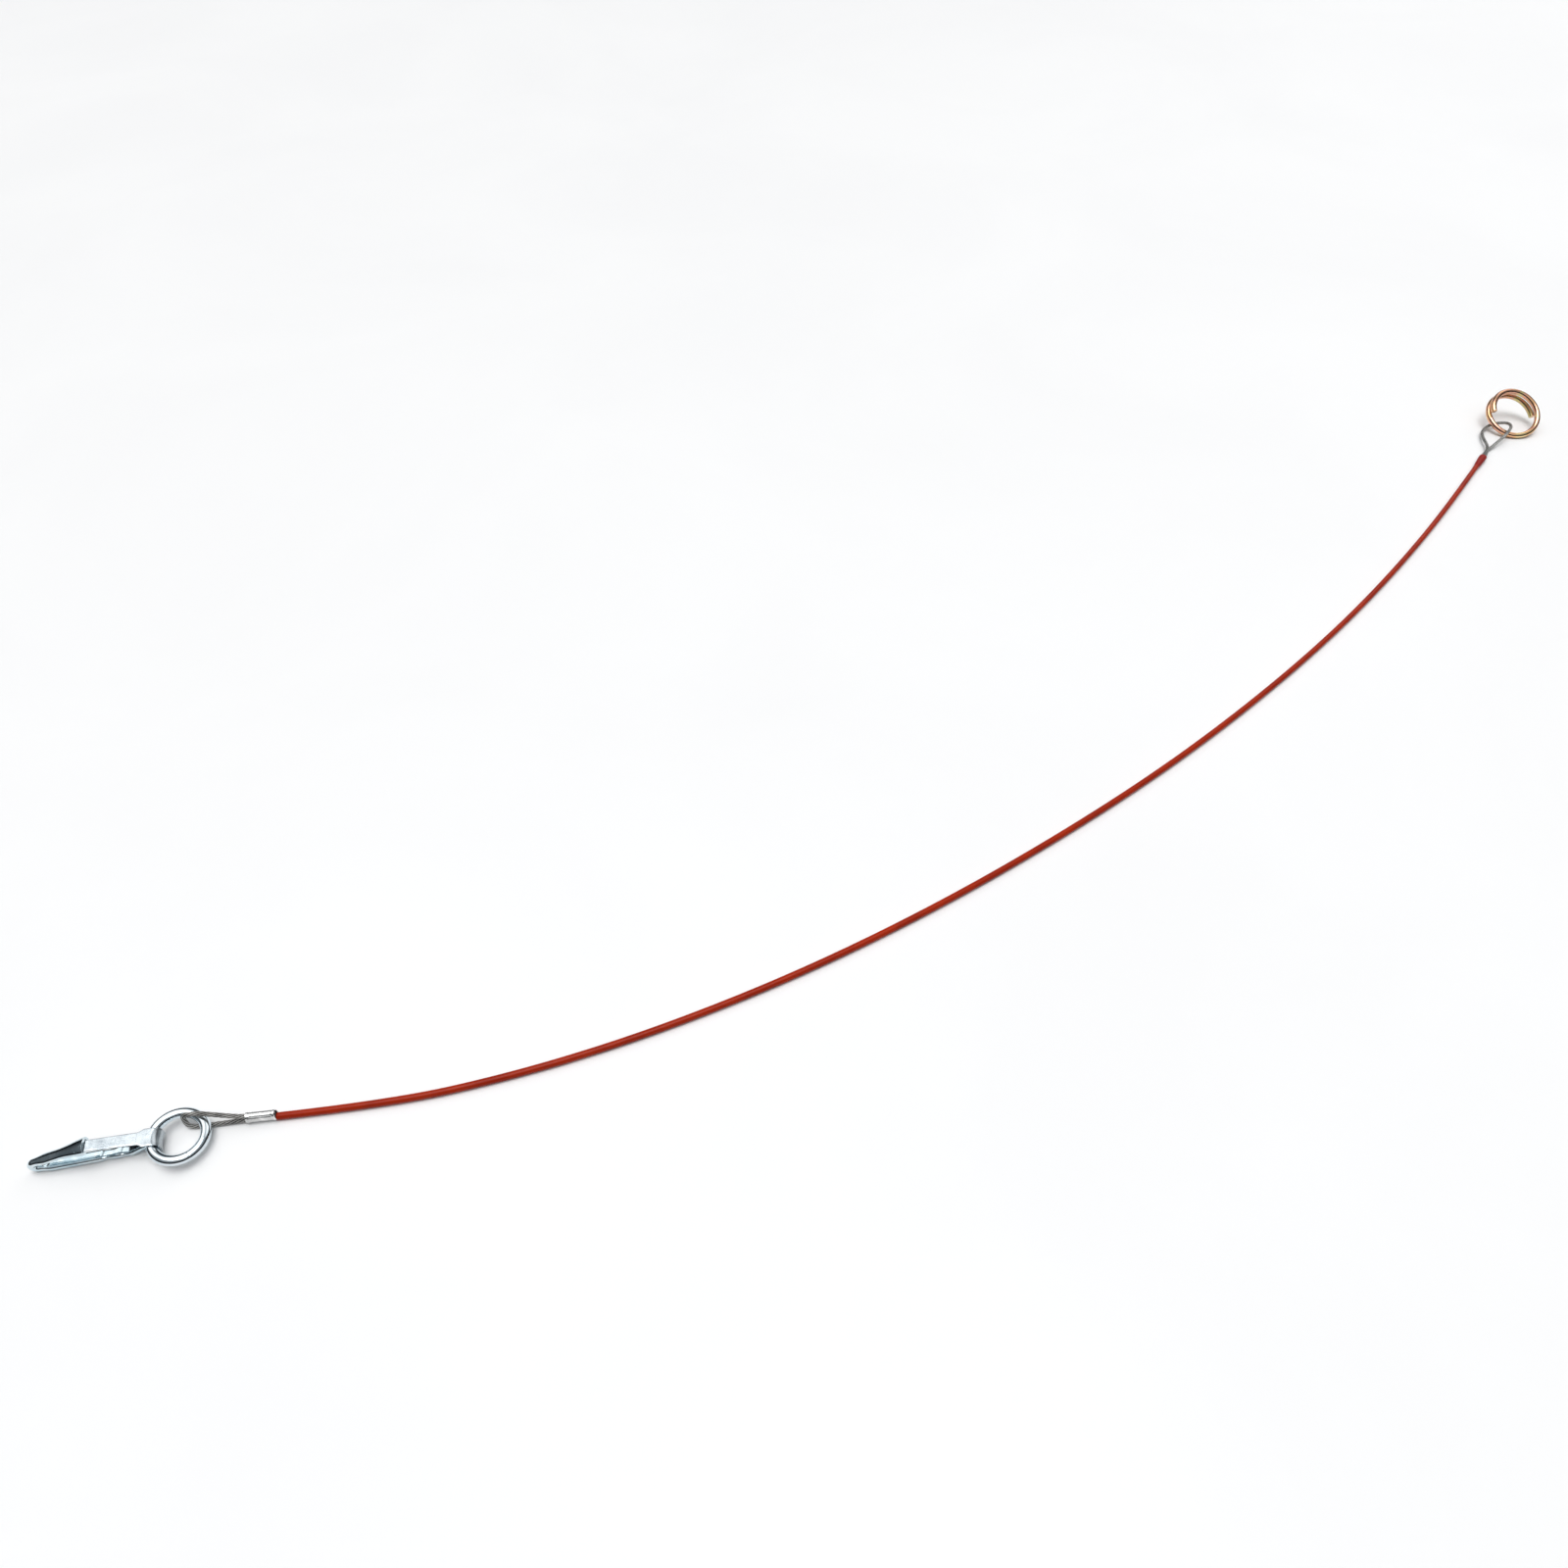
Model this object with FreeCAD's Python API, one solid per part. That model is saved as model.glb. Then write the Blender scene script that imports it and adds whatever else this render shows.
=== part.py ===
"""Snap hook with a captive eye ring, a coated wire-rope lanyard and a burst ring.

Millimetres, +Z up. The hook lies along X on the plane Z = 0, nose towards -X and eye ring towards
+X, with the origin under the middle of the hook. The lanyard leaves the eye ring towards +X, lies
on the same plane and ends in the burst ring.
"""
import FreeCAD, Part
import math
import os

from FreeCAD import Rotation, Vector

# ---- driving dimensions: hook ---------------------------------------------------------------
HOOK_LENGTH = 88.0            # bend to the far side of the eye ring
BAR_WIDTH = 5.8               # forged bar, across the hook
BAR_THICKNESS = 3.8           # forged bar, in the plane of the hook
BAR_CORNER = 1.3              # rounding of the bar's section
BEND_RADIUS = 3.0             # centre line of the hairpin bend
NOSE_ANGLE = 16.0             # rise of the nose from the bend, degrees
NOSE_NECK_LENGTH = 16.0       # plain bar between the bend and the hood
HOOD_LENGTH = 12.4            # flared end of the nose that covers the leaf tip
HOOD_WIDTH = 9.0
HOOD_THICKNESS = 4.4
HOOD_CORNER = 1.7
SHANK_WIDTH = 5.2             # tapered end of the bar under the eye ring
SHANK_THICKNESS = 3.4
TONGUE_THICKNESS = 2.8        # the last of the shank, under the ring wire
GRIP_RADIUS = 6.0             # cylinder that cuts the finger grips
GRIP_DEPTH = 0.8
GRIP_START = 2.4              # first grip before the shank
GRIP_PITCH = 8.0
GRIP_COUNT = 2
DIMPLE_RADIUS = 2.6           # punch mark in the bar near the bend
DIMPLE_DEPTH = 0.5
DIMPLE_RUN = 3.4              # punch mark to the bend

# ---- driving dimensions: leaf and ring ------------------------------------------------------
LEAF_THICKNESS = 0.8
LEAF_TIP_WIDTH = 5.8
LEAF_ROOT_WIDTH = 6.6
LEAF_ANGLE = 6.5              # fall of the leaf from its tip to the ring, degrees
LEAF_OVERLAP = 3.4            # leaf tip inside the hood
LEAF_GAP = 0.2                # between the moving leaf and its clasp
LEAF_HOOD_GAP = 0.25          # round the leaf tip in the hood
CLASP_THICKNESS = 1.0
CLASP_WIDTH = 9.4
CLASP_FLARE = 2.6             # length over which the strip widens
CLASP_RUN = 5.8               # flat part of the clasp before the ring wire
CLASP_FOLD_RADIUS = 1.9
CLASP_LIP_LENGTH = 5.0        # strip folded back under the shank
CLASP_SLACK = 0.6             # room for the ring's curve inside the fold
RING_OUTER = 31.0             # eye ring, outside diameter
RING_WIRE = 5.4               # eye ring, bar diameter
RING_GAP = 0.2                # ring wire to the clasp and the shank

# ---- driving dimensions: lanyard ------------------------------------------------------------
ROPE_DIAMETER = 2.5
SLEEVE_DIAMETER = 4.0
CORE_GAP = 0.02               # rope to the sleeve's bore and to the ferrule's bores
FERRULE_LENGTH = 15.0
FERRULE_WIDTH = 5.0
FERRULE_HEIGHT = 7.0
FERRULE_CORNER = 2.2
EYE_ANGLE = 30.0              # where the rope eye crosses the eye ring, from +X
EYE_LEAN = 12.0               # lean of the eye's plane from upright
EYE_NOSE_RADIUS = 4.2
EYE_NOSE_ROOM = 2.2           # eye's nose beyond the ring wire
EYE_RISE = 1.8                # upper leg above its lowest pass over the wire
MOUTH_RUN = 1.1               # straight legs out of the ferrule
LEG_GAP = 0.14                # between the two legs in a ferrule
EYE_GAP = 0.25                # rope to the eye ring's wire
EYE_FLOOR = 0.29              # rope under the ring's wire to the plane
COLLAR_OVERLAP = 6.0          # collar on the sleeve
COLLAR_BEYOND = 12.0          # collar past the sleeve's end
COLLAR_WALL = 0.6
COLLAR_WIDTH = 7.0
COLLAR_HEIGHT = 5.2
CRIMP_LENGTH = 9.5            # inner crimp in the collar
CRIMP_WALL = 0.35
LEG_RUN = 2.6                 # straight legs out of the collar
LEG_BEND = 8.0

# ---- driving dimensions: burst ring ---------------------------------------------------------
BURST_RADIUS = 20.3           # centre line of the wire
BURST_WIRE = 4.5
BURST_PITCH = 6.8
BURST_TURNS = 1.5
BURST_CENTRE = Vector(1078.4, 439.2, 15.8)
BURST_NORMAL = Vector(-0.04, -0.44, 0.90)
BURST_START = 172.0           # free end of the upper coil, degrees from +X

# The lanyard's route on the plane, sleeve's centre line, from the ferrule to the collar.
SLEEVE_REST = SLEEVE_DIAMETER / 2
COLLAR_SLIM = SLEEVE_DIAMETER + 2 * COLLAR_WALL
COLLAR_REST = max(COLLAR_HEIGHT, COLLAR_SLIM) / 2
CABLE_ROUTE = [
    Vector(75.0, 3.4, SLEEVE_REST),
    Vector(132.8, -1.4, SLEEVE_REST),
    Vector(192.5, 1.0, SLEEVE_REST),
    Vector(250.5, 8.0, SLEEVE_REST),
    Vector(308.0, 19.0, SLEEVE_REST),
    Vector(364.5, 33.0, SLEEVE_REST),
    Vector(420.5, 50.0, SLEEVE_REST),
    Vector(476.0, 69.5, SLEEVE_REST),
    Vector(530.5, 91.0, SLEEVE_REST),
    Vector(584.0, 114.0, SLEEVE_REST),
    Vector(637.0, 139.0, SLEEVE_REST),
    Vector(689.0, 166.0, SLEEVE_REST),
    Vector(740.0, 194.5, SLEEVE_REST),
    Vector(790.0, 224.5, SLEEVE_REST),
    Vector(839.0, 256.5, SLEEVE_REST),
    Vector(887.5, 290.5, SLEEVE_REST),
    Vector(934.5, 325.5, SLEEVE_REST),
    Vector(980.0, 361.5, COLLAR_REST),
    Vector(1018.2, 392.9, COLLAR_REST),
]

# The far eye's route above the plane, from its right-hand leg round to its left-hand leg.
FAR_EYE_ROUTE = [
    Vector(1038.8, 411.6, 4.2),
    Vector(1042.0, 424.0, 3.8),
    Vector(1048.0, 434.5, 3.0),
    Vector(1057.5, 440.5, 3.2),
    Vector(1066.0, 440.8, 5.0),
    Vector(1072.0, 435.8, 7.4),
    Vector(1070.2, 428.6, 8.6),
    Vector(1063.5, 422.8, 8.2),
    Vector(1056.0, 418.2, 6.4),
    Vector(1047.5, 414.4, 3.4),
    Vector(1039.0, 410.4, 1.4),
]

# ---- derived sizes ----------------------------------------------------------------------------
RING_RADIUS = (RING_OUTER - RING_WIRE) / 2
RING_WIRE_RADIUS = RING_WIRE / 2
ROPE_RADIUS = ROPE_DIAMETER / 2
EYE_PASS = RING_WIRE_RADIUS + ROPE_RADIUS + EYE_GAP
EYE_DROP = RING_RADIUS * math.cos(math.radians(EYE_ANGLE)) * math.sin(math.radians(LEAF_ANGLE))
RING_HEIGHT = ROPE_RADIUS + EYE_FLOOR + EYE_PASS * math.cos(math.radians(EYE_LEAN)) + EYE_DROP
BAR_REST = BAR_THICKNESS / 2
BEND_OUTER = BEND_RADIUS + BAR_THICKNESS / 2
BEND_X = -HOOK_LENGTH / 2 + BEND_OUTER
RING_X = HOOK_LENGTH / 2 - RING_WIRE_RADIUS - RING_RADIUS * math.cos(math.radians(LEAF_ANGLE))
WRAP_X = RING_X - RING_RADIUS * math.cos(math.radians(LEAF_ANGLE))
WRAP_Z = RING_HEIGHT + RING_RADIUS * math.sin(math.radians(LEAF_ANGLE))
CLASP_RADIUS = RING_WIRE_RADIUS + RING_GAP + CLASP_THICKNESS / 2


def polar(angle, length=1.0):
    """A vector in the XZ plane, turned up from +X by an angle in degrees."""
    turn = math.radians(angle)
    return Vector(math.cos(turn), 0, math.sin(turn)) * length


def rounded_section(centre, along, width, height, corner):
    """A closed wire, a rectangle with round corners, square to a direction in the XZ plane."""
    across = Vector(0, 1, 0)
    up = along.cross(across) * -1
    if up.z < 0:
        up = up * -1
    reach_y = width / 2 - corner
    reach_z = height / 2 - corner
    edges = []
    corners = [(1, 1), (-1, 1), (-1, -1), (1, -1)]
    for step, (side, level) in enumerate(corners):
        middle = centre + across * (reach_y * side) + up * (reach_z * level)
        start = across * side if side * level > 0 else up * level
        finish = up * level if side * level > 0 else across * side
        half = (start + finish).normalize()
        arc = Part.Arc(middle + start * corner, middle + half * corner, middle + finish * corner)
        edges.append(arc.toShape())
        next_side, next_level = corners[(step + 1) % 4]
        next_middle = centre + across * (reach_y * next_side) + up * (reach_z * next_level)
        next_start = across * next_side if next_side * next_level > 0 else up * next_level
        edges.append(Part.makeLine(middle + finish * corner, next_middle + next_start * corner))
    return Part.Wire(edges)


def disc(centre, direction, radius):
    """A round face at a point, square to a direction."""
    return Part.Face(Part.Wire(Part.makeCircle(radius, centre, direction)))


def route_radii(points):
    """The largest arc that each inner point of a route allows its two runs to share."""
    radii = []
    for before, here, after in zip(points, points[1:], points[2:]):
        run = min(here.distanceToPoint(before), after.distanceToPoint(here))
        turn = (here - before).getAngle(after - here)
        radii.append(0.45 * run / math.tan(turn / 2))
    return radii


def rounded_path(points, radii):
    """A wire of straight runs through the points, joined at each inner point by a tangent arc."""
    edges = []
    last = points[0]
    for before, here, after, radius in zip(points, points[1:], points[2:], radii):
        back = (before - here).normalize()
        ahead = (after - here).normalize()
        turn = (back * -1).getAngle(ahead)
        reach = radius * math.tan(turn / 2)
        centre_side = (back + ahead).normalize()
        centre = here + centre_side * (radius / math.cos(turn / 2))
        start = here + back * reach
        finish = here + ahead * reach
        edges.append(Part.LineSegment(last, start).toShape())
        edges.append(Part.Arc(start, centre - centre_side * radius, finish).toShape())
        last = finish
    edges.append(Part.LineSegment(last, points[-1]).toShape())
    return Part.Wire(edges)


def tube(path, radius):
    """A round solid along a wire."""
    start = path.Edges[0]
    direction = start.tangentAt(start.FirstParameter)
    return path.makePipe(disc(start.valueAt(start.FirstParameter), direction, radius))


def strip(points, radii, thickness, width):
    """A flat strip of one thickness, bent along a route in the XZ plane."""
    path = rounded_path(points, radii)
    along = (points[1] - points[0]).normalize()
    normal = Vector(-along.z, 0, along.x)
    half = normal * (thickness / 2)
    side = Vector(0, width / 2, 0)
    corners = [points[0] + half + side, points[0] + half - side,
               points[0] - half - side, points[0] - half + side]
    profile = Part.Face(Part.makePolygon(corners + corners[:1]))
    return path.makePipe(profile)


def prism(outline, low, high):
    """A solid that stands on an outline of X, Y points between two heights."""
    points = [Vector(x, y, low) for x, y in outline]
    face = Part.Face(Part.makePolygon(points + points[:1]))
    return face.extrude(Vector(0, 0, high - low))


# ---- places shared by the hook's pieces -----------------------------------------------------
BEND_CENTRE = Vector(BEND_X, 0, BAR_REST + BEND_RADIUS)
NOSE_ALONG = polar(NOSE_ANGLE)
NOSE_START = BEND_CENTRE + polar(NOSE_ANGLE + 90, BEND_RADIUS)
HOOD_START = NOSE_START + NOSE_ALONG * NOSE_NECK_LENGTH
HOOD_END = HOOD_START + NOSE_ALONG * HOOD_LENGTH
WRAP = Vector(WRAP_X, 0, WRAP_Z)
CLASP_TOP = WRAP + polar(90 - LEAF_ANGLE, CLASP_RADIUS)
LEAF_DOWN = polar(-LEAF_ANGLE)
CLASP_START = CLASP_TOP - LEAF_DOWN * CLASP_RUN
LEAF_ROOT = CLASP_START - LEAF_DOWN * LEAF_GAP
LEAF_TIP_X = HOOD_END.x - LEAF_OVERLAP
LEAF_TIP = LEAF_ROOT - LEAF_DOWN * ((LEAF_ROOT.x - LEAF_TIP_X) / math.cos(math.radians(LEAF_ANGLE)))
SHANK_START_X = CLASP_START.x - 6.0
TONGUE_TOP = WRAP_Z - RING_WIRE_RADIUS + 0.8
TONGUE_Z = TONGUE_TOP - TONGUE_THICKNESS / 2
SHANK_Z = TONGUE_TOP + 0.7 - SHANK_THICKNESS / 2


def ring_solid(grow=0.0):
    """The eye ring's bar, tilted with the leaf, and made thicker by a clearance."""
    ring = Part.makeTorus(RING_RADIUS, RING_WIRE_RADIUS + grow)
    ring.rotate(Vector(0, 0, 0), Vector(0, 1, 0), LEAF_ANGLE)
    ring.translate(Vector(RING_X, 0, RING_HEIGHT))
    return ring


def make_hook_body():
    """Forged bar: shank, spine with finger grips, hairpin bend, nose and hood."""
    spine_start = Vector(SHANK_START_X, 0, BAR_REST)
    bend_low = Vector(BEND_X, 0, BAR_REST)
    bend_left = BEND_CENTRE + polar(180 + NOSE_ANGLE / 2, BEND_RADIUS)
    path = Part.Wire([
        Part.makeLine(spine_start, bend_low),
        Part.Arc(bend_low, bend_left, NOSE_START).toShape(),
        Part.makeLine(NOSE_START, HOOD_START),
    ])
    section = rounded_section(spine_start, Vector(1, 0, 0), BAR_WIDTH, BAR_THICKNESS, BAR_CORNER)
    bar = path.makePipe(Part.Face(section))

    neck = rounded_section(HOOD_START, NOSE_ALONG, BAR_WIDTH, BAR_THICKNESS, BAR_CORNER)
    lip = rounded_section(HOOD_END, NOSE_ALONG, HOOD_WIDTH, HOOD_THICKNESS, HOOD_CORNER)
    hood = Part.makeLoft([neck, lip], True, True)

    flat = Vector(1, 0, 0)
    shank_middle = Vector(CLASP_START.x + 1.0, 0, SHANK_Z)
    tongue_end = Vector(WRAP_X + CLASP_RADIUS - CLASP_THICKNESS / 2 - RING_GAP - 0.4, 0, TONGUE_Z)
    shank = Part.makeLoft([
        rounded_section(spine_start, flat, BAR_WIDTH, BAR_THICKNESS, BAR_CORNER),
        rounded_section(shank_middle, flat, SHANK_WIDTH, SHANK_THICKNESS, BAR_CORNER),
        rounded_section(tongue_end, flat, SHANK_WIDTH, TONGUE_THICKNESS, BAR_CORNER),
    ], True, True)

    body = bar.fuse([hood, shank]).removeSplitter()
    for step in range(GRIP_COUNT):
        grip_x = SHANK_START_X - GRIP_START - step * GRIP_PITCH
        high = BAR_THICKNESS + GRIP_RADIUS - GRIP_DEPTH
        across = Part.makeCylinder(GRIP_RADIUS, 2 * BAR_WIDTH, Vector(grip_x, -BAR_WIDTH, high),
                                   Vector(0, 1, 0))
        body = body.cut(across)
        for side in (-1, 1):
            beside = side * (BAR_WIDTH / 2 + GRIP_RADIUS - GRIP_DEPTH / 2)
            upright = Part.makeCylinder(GRIP_RADIUS, BAR_THICKNESS + 2, Vector(grip_x, beside, -1))
            body = body.cut(upright)
    dimple_z = BAR_THICKNESS + DIMPLE_RADIUS - DIMPLE_DEPTH
    body = body.cut(Part.makeSphere(DIMPLE_RADIUS, Vector(BEND_X + DIMPLE_RUN, 0, dimple_z)))

    pocket_top = LEAF_TIP.z + LEAF_THICKNESS / 2 + LEAF_HOOD_GAP
    pocket_width = LEAF_TIP_WIDTH + 2 * LEAF_HOOD_GAP + 0.2
    pocket_back = LEAF_TIP.x - LEAF_HOOD_GAP
    pocket_low = BAR_THICKNESS + 1
    pocket = Part.makeBox(HOOD_LENGTH, pocket_width, pocket_top - pocket_low,
                          Vector(pocket_back, -pocket_width / 2, pocket_low))
    body = body.cut(pocket)
    return body.cut(ring_solid(RING_GAP))


def make_gate_leaf():
    """Flat spring leaf from the clasp to the hood."""
    blank = strip([LEAF_ROOT, LEAF_TIP], [], LEAF_THICKNESS, LEAF_ROOT_WIDTH)
    outline = [
        (LEAF_ROOT.x + 1, LEAF_ROOT_WIDTH / 2),
        (LEAF_TIP.x + 1.2, LEAF_TIP_WIDTH / 2),
        (LEAF_TIP.x - 0.2, LEAF_TIP_WIDTH / 2 - 1.2),
        (LEAF_TIP.x - 0.2, -LEAF_TIP_WIDTH / 2 + 1.2),
        (LEAF_TIP.x + 1.2, -LEAF_TIP_WIDTH / 2),
        (LEAF_ROOT.x + 1, -LEAF_ROOT_WIDTH / 2),
    ]
    return blank.common(prism(outline, 0, HOOK_LENGTH))


def make_leaf_clasp():
    """Wide end of the leaf strip, wrapped over the ring wire and folded under the shank."""
    fall_x = WRAP_X + CLASP_RADIUS + CLASP_SLACK
    lip_z = TONGUE_Z - TONGUE_THICKNESS / 2 - RING_GAP - CLASP_THICKNESS / 2
    knee = (CLASP_RADIUS + CLASP_SLACK) * math.tan(math.radians((90 - LEAF_ANGLE) / 2))
    points = [
        CLASP_START,
        CLASP_TOP + LEAF_DOWN * knee,
        Vector(fall_x, 0, lip_z),
        Vector(fall_x - CLASP_FOLD_RADIUS - CLASP_LIP_LENGTH, 0, lip_z),
    ]
    blank = strip(points, [CLASP_RADIUS, CLASP_FOLD_RADIUS], CLASP_THICKNESS, CLASP_WIDTH)
    start_x = CLASP_START.x
    half = CLASP_WIDTH / 2
    narrow = LEAF_ROOT_WIDTH / 2 + 0.1
    corners = [
        (start_x - 1, half + 1), (start_x - 1, narrow), (start_x + 0.4, narrow),
        (start_x + CLASP_FLARE, half), (start_x + CLASP_FLARE, half + 1),
    ]
    for side in (-1, 1):
        wedge = [(x, y * side) for x, y in corners]
        blank = blank.cut(prism(wedge, WRAP_Z, HOOK_LENGTH))
    return blank.cut(ring_solid(RING_GAP))


def eye_frame():
    """Origin on the ring wire and the two directions of the near eye's plane."""
    turn = math.radians(EYE_ANGLE)
    local = Vector(RING_RADIUS * math.cos(turn), RING_RADIUS * math.sin(turn), 0)
    wire = Rotation(Vector(0, 1, 0), LEAF_ANGLE).multVec(local) + Vector(RING_X, 0, RING_HEIGHT)
    exit_run = CABLE_ROUTE[1] - CABLE_ROUTE[0]
    inward = (exit_run * -1).normalize()
    lean = math.radians(EYE_LEAN)
    sideways = Vector(0, 0, 1).cross(inward)
    upward = (Vector(0, 0, 1) * math.cos(lean) - sideways * math.sin(lean)).normalize()
    return wire, inward, upward


def ring_line():
    """Middle of the eye ring's wire."""
    lean = math.radians(LEAF_ANGLE)
    normal = Vector(math.sin(lean), 0, math.cos(lean))
    return Part.Circle(Vector(RING_X, 0, RING_HEIGHT), normal, RING_RADIUS).toShape()


def eye_corner(mouth, side, clearance, past):
    """End of a leg that clears the middle of the ring's wire and runs on past it."""
    wire, inward, upward = eye_frame()
    reach = wire - mouth
    ahead = reach.dot(inward)
    above = reach.dot(upward)
    sideways = reach - inward * ahead - upward * above
    distance = math.hypot(ahead, above)
    radius = clearance
    for _ in range(8):
        angle = math.atan2(above, ahead) + side * math.atan2(radius, distance)
        run = math.hypot(distance, radius) + past
        corner = mouth + sideways + (inward * math.cos(angle) + upward * math.sin(angle)) * run
        radius += clearance - Part.makeLine(mouth, corner).distToShape(ring_line())[0]
    return corner


def make_near_eye():
    """Bare rope from the sleeve, through the ferrule, round the ring wire and back."""
    wire, inward, upward = eye_frame()
    start = CABLE_ROUTE[0]
    mouth = start + inward * (FERRULE_LENGTH + MOUTH_RUN)
    lift = upward * (ROPE_DIAMETER + LEG_GAP)
    spare = 0.0
    for _ in range(6):
        past = EYE_NOSE_RADIUS + EYE_NOSE_ROOM + spare
        points = [start, mouth, eye_corner(mouth, -1, EYE_PASS, past),
                  eye_corner(mouth + lift, 1, EYE_PASS + EYE_RISE + spare, past),
                  mouth + lift, start + lift + inward * 0.6]
        path = rounded_path(points, [12.0, EYE_NOSE_RADIUS, EYE_NOSE_RADIUS, 5.0])
        spare += max(0.0, EYE_PASS - path.distToShape(ring_line())[0])
    return tube(path, ROPE_RADIUS)


def make_near_ferrule():
    """Pressed oval sleeve over both legs of the near eye."""
    wire, inward, upward = eye_frame()
    start = CABLE_ROUTE[0]
    finish = start + inward * FERRULE_LENGTH
    middle = Vector(0, 0, FERRULE_HEIGHT / 2 - start.z)
    lean_y = upward * (ROPE_DIAMETER / 2)
    shift = Vector(lean_y.x, lean_y.y, 0)
    blank = []
    for share, squeeze in ((0.0, 0.82), (0.12, 1.0), (0.88, 1.0), (1.0, 0.82)):
        place = start + (finish - start) * share + shift + middle
        height = FERRULE_HEIGHT * (1 + squeeze) / 2
        drop = Vector(0, 0, (height - FERRULE_HEIGHT) / 2)
        flat_wire = rounded_section(Vector(0, 0, 0), Vector(1, 0, 0), FERRULE_WIDTH * squeeze,
                                    height, FERRULE_CORNER * squeeze)
        turn = math.degrees(math.atan2(-inward.y, -inward.x))
        flat_wire.rotate(Vector(0, 0, 0), Vector(0, 0, 1), turn)
        flat_wire.translate(place + drop)
        blank.append(flat_wire)
    body = Part.makeLoft(blank, True, True)
    lift = upward * (ROPE_DIAMETER + LEG_GAP)
    bore = ROPE_RADIUS + CORE_GAP
    for offset in (Vector(0, 0, 0), lift):
        base = start + offset - inward
        body = body.cut(Part.makeCylinder(bore, FERRULE_LENGTH + 2, base, inward))
    return body


def make_cable():
    """Rope core and coated sleeve along the route."""
    radii = route_radii(CABLE_ROUTE)
    path = rounded_path(CABLE_ROUTE, radii)
    core = tube(path, ROPE_RADIUS)
    bore = tube(path, ROPE_RADIUS + CORE_GAP)
    sleeve = tube(path, SLEEVE_DIAMETER / 2).cut(bore)
    print("cable length", round(path.Length, 1), "radii", [round(radius) for radius in radii])
    section = math.pi * (SLEEVE_DIAMETER / 2) ** 2 * path.Length
    print("cable volume share", round((sleeve.Volume + bore.Volume) / section, 4))
    return core, sleeve


def collar_frame():
    """Sleeve end, the direction out of it and the direction across it."""
    finish = CABLE_ROUTE[-1]
    outward = (finish - CABLE_ROUTE[-2]).normalize()
    across = Vector(0, 0, 1).cross(outward).normalize()
    return finish, outward, across


def leg_offset():
    """Half the distance between the two legs of the far eye."""
    return (ROPE_DIAMETER + LEG_GAP) / 2


def make_far_crimp():
    """Inner crimp that joins the rope's two legs inside the collar."""
    finish, outward, across = collar_frame()
    crimp_end = finish + outward * (COLLAR_BEYOND - 0.6)
    crimp_start = crimp_end - outward * CRIMP_LENGTH
    bore = ROPE_RADIUS + CORE_GAP
    width = 2 * (leg_offset() + bore + CRIMP_WALL)
    height = 2 * (bore + CRIMP_WALL)
    body = Part.Face(oval_box(crimp_start, outward, width, height)).extrude(outward * CRIMP_LENGTH)
    for side in (-1, 1):
        base = crimp_start + across * (side * leg_offset()) - outward
        body = body.cut(Part.makeCylinder(bore, CRIMP_LENGTH + 2, base, outward))
    return body


def oval_box(centre, outward, width, height):
    """A stadium-shaped closed wire, wide across and round at both ends."""
    across = Vector(0, 0, 1).cross(outward).normalize()
    up = Vector(0, 0, height / 2)
    reach = across * ((width - height) / 2)
    cap = across * (width / 2)
    return Part.Wire([
        Part.makeLine(centre - reach + up, centre + reach + up),
        Part.Arc(centre + reach + up, centre + cap, centre + reach - up).toShape(),
        Part.makeLine(centre + reach - up, centre - reach - up),
        Part.Arc(centre - reach - up, centre - cap, centre - reach + up).toShape(),
    ])


def make_far_collar():
    """Moulded end of the coating, round on the sleeve and oval over the two legs."""
    finish, outward, across = collar_frame()
    start = finish - outward * COLLAR_OVERLAP
    end = finish + outward * COLLAR_BEYOND
    slim = COLLAR_SLIM
    wide = max(COLLAR_WIDTH, slim)
    high = max(COLLAR_HEIGHT, slim)
    outer = []
    for share, width, height in ((0.0, slim, slim), (0.3, slim, slim),
                                 (0.75, wide, high),
                                 (1.0, wide, high)):
        place = start + (end - start) * share
        outer.append(oval_box(place, outward, width + 0.02, height - 0.02))
    body = Part.makeLoft(outer, True, True)
    sleeve_bore = Part.makeCylinder(SLEEVE_DIAMETER / 2 + CORE_GAP, COLLAR_OVERLAP + 1,
                                    start - outward, outward)
    bore = ROPE_RADIUS + CORE_GAP
    width = 2 * (leg_offset() + bore + CRIMP_WALL) + 2 * CORE_GAP
    height = 2 * (bore + CRIMP_WALL) + 2 * CORE_GAP
    pocket = Part.Face(oval_box(finish, outward, width, height)).extrude(
        outward * (COLLAR_BEYOND - 0.6 + CORE_GAP))
    body = body.cut([sleeve_bore, pocket])
    for side in (-1, 1):
        base = end + across * (side * leg_offset()) - outward * 2
        body = body.cut(Part.makeCylinder(bore, 4, base, outward))
    return body


def make_far_eye():
    """Bare rope loop from one leg in the crimp, through the burst ring, to the other leg."""
    finish, outward, across = collar_frame()
    root = finish + outward * (COLLAR_BEYOND - 0.6 - CRIMP_LENGTH)
    mouth = finish + outward * (COLLAR_BEYOND + LEG_RUN)
    right = across * -leg_offset()
    left = across * leg_offset()
    points = [root + right, mouth + right] + FAR_EYE_ROUTE + [mouth + left, root + left]
    radii = route_radii(points)
    radii[0] = LEG_BEND
    radii[-1] = LEG_BEND
    print("far eye radii", [round(radius, 1) for radius in radii])
    return tube(rounded_path(points, radii), ROPE_RADIUS)


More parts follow.
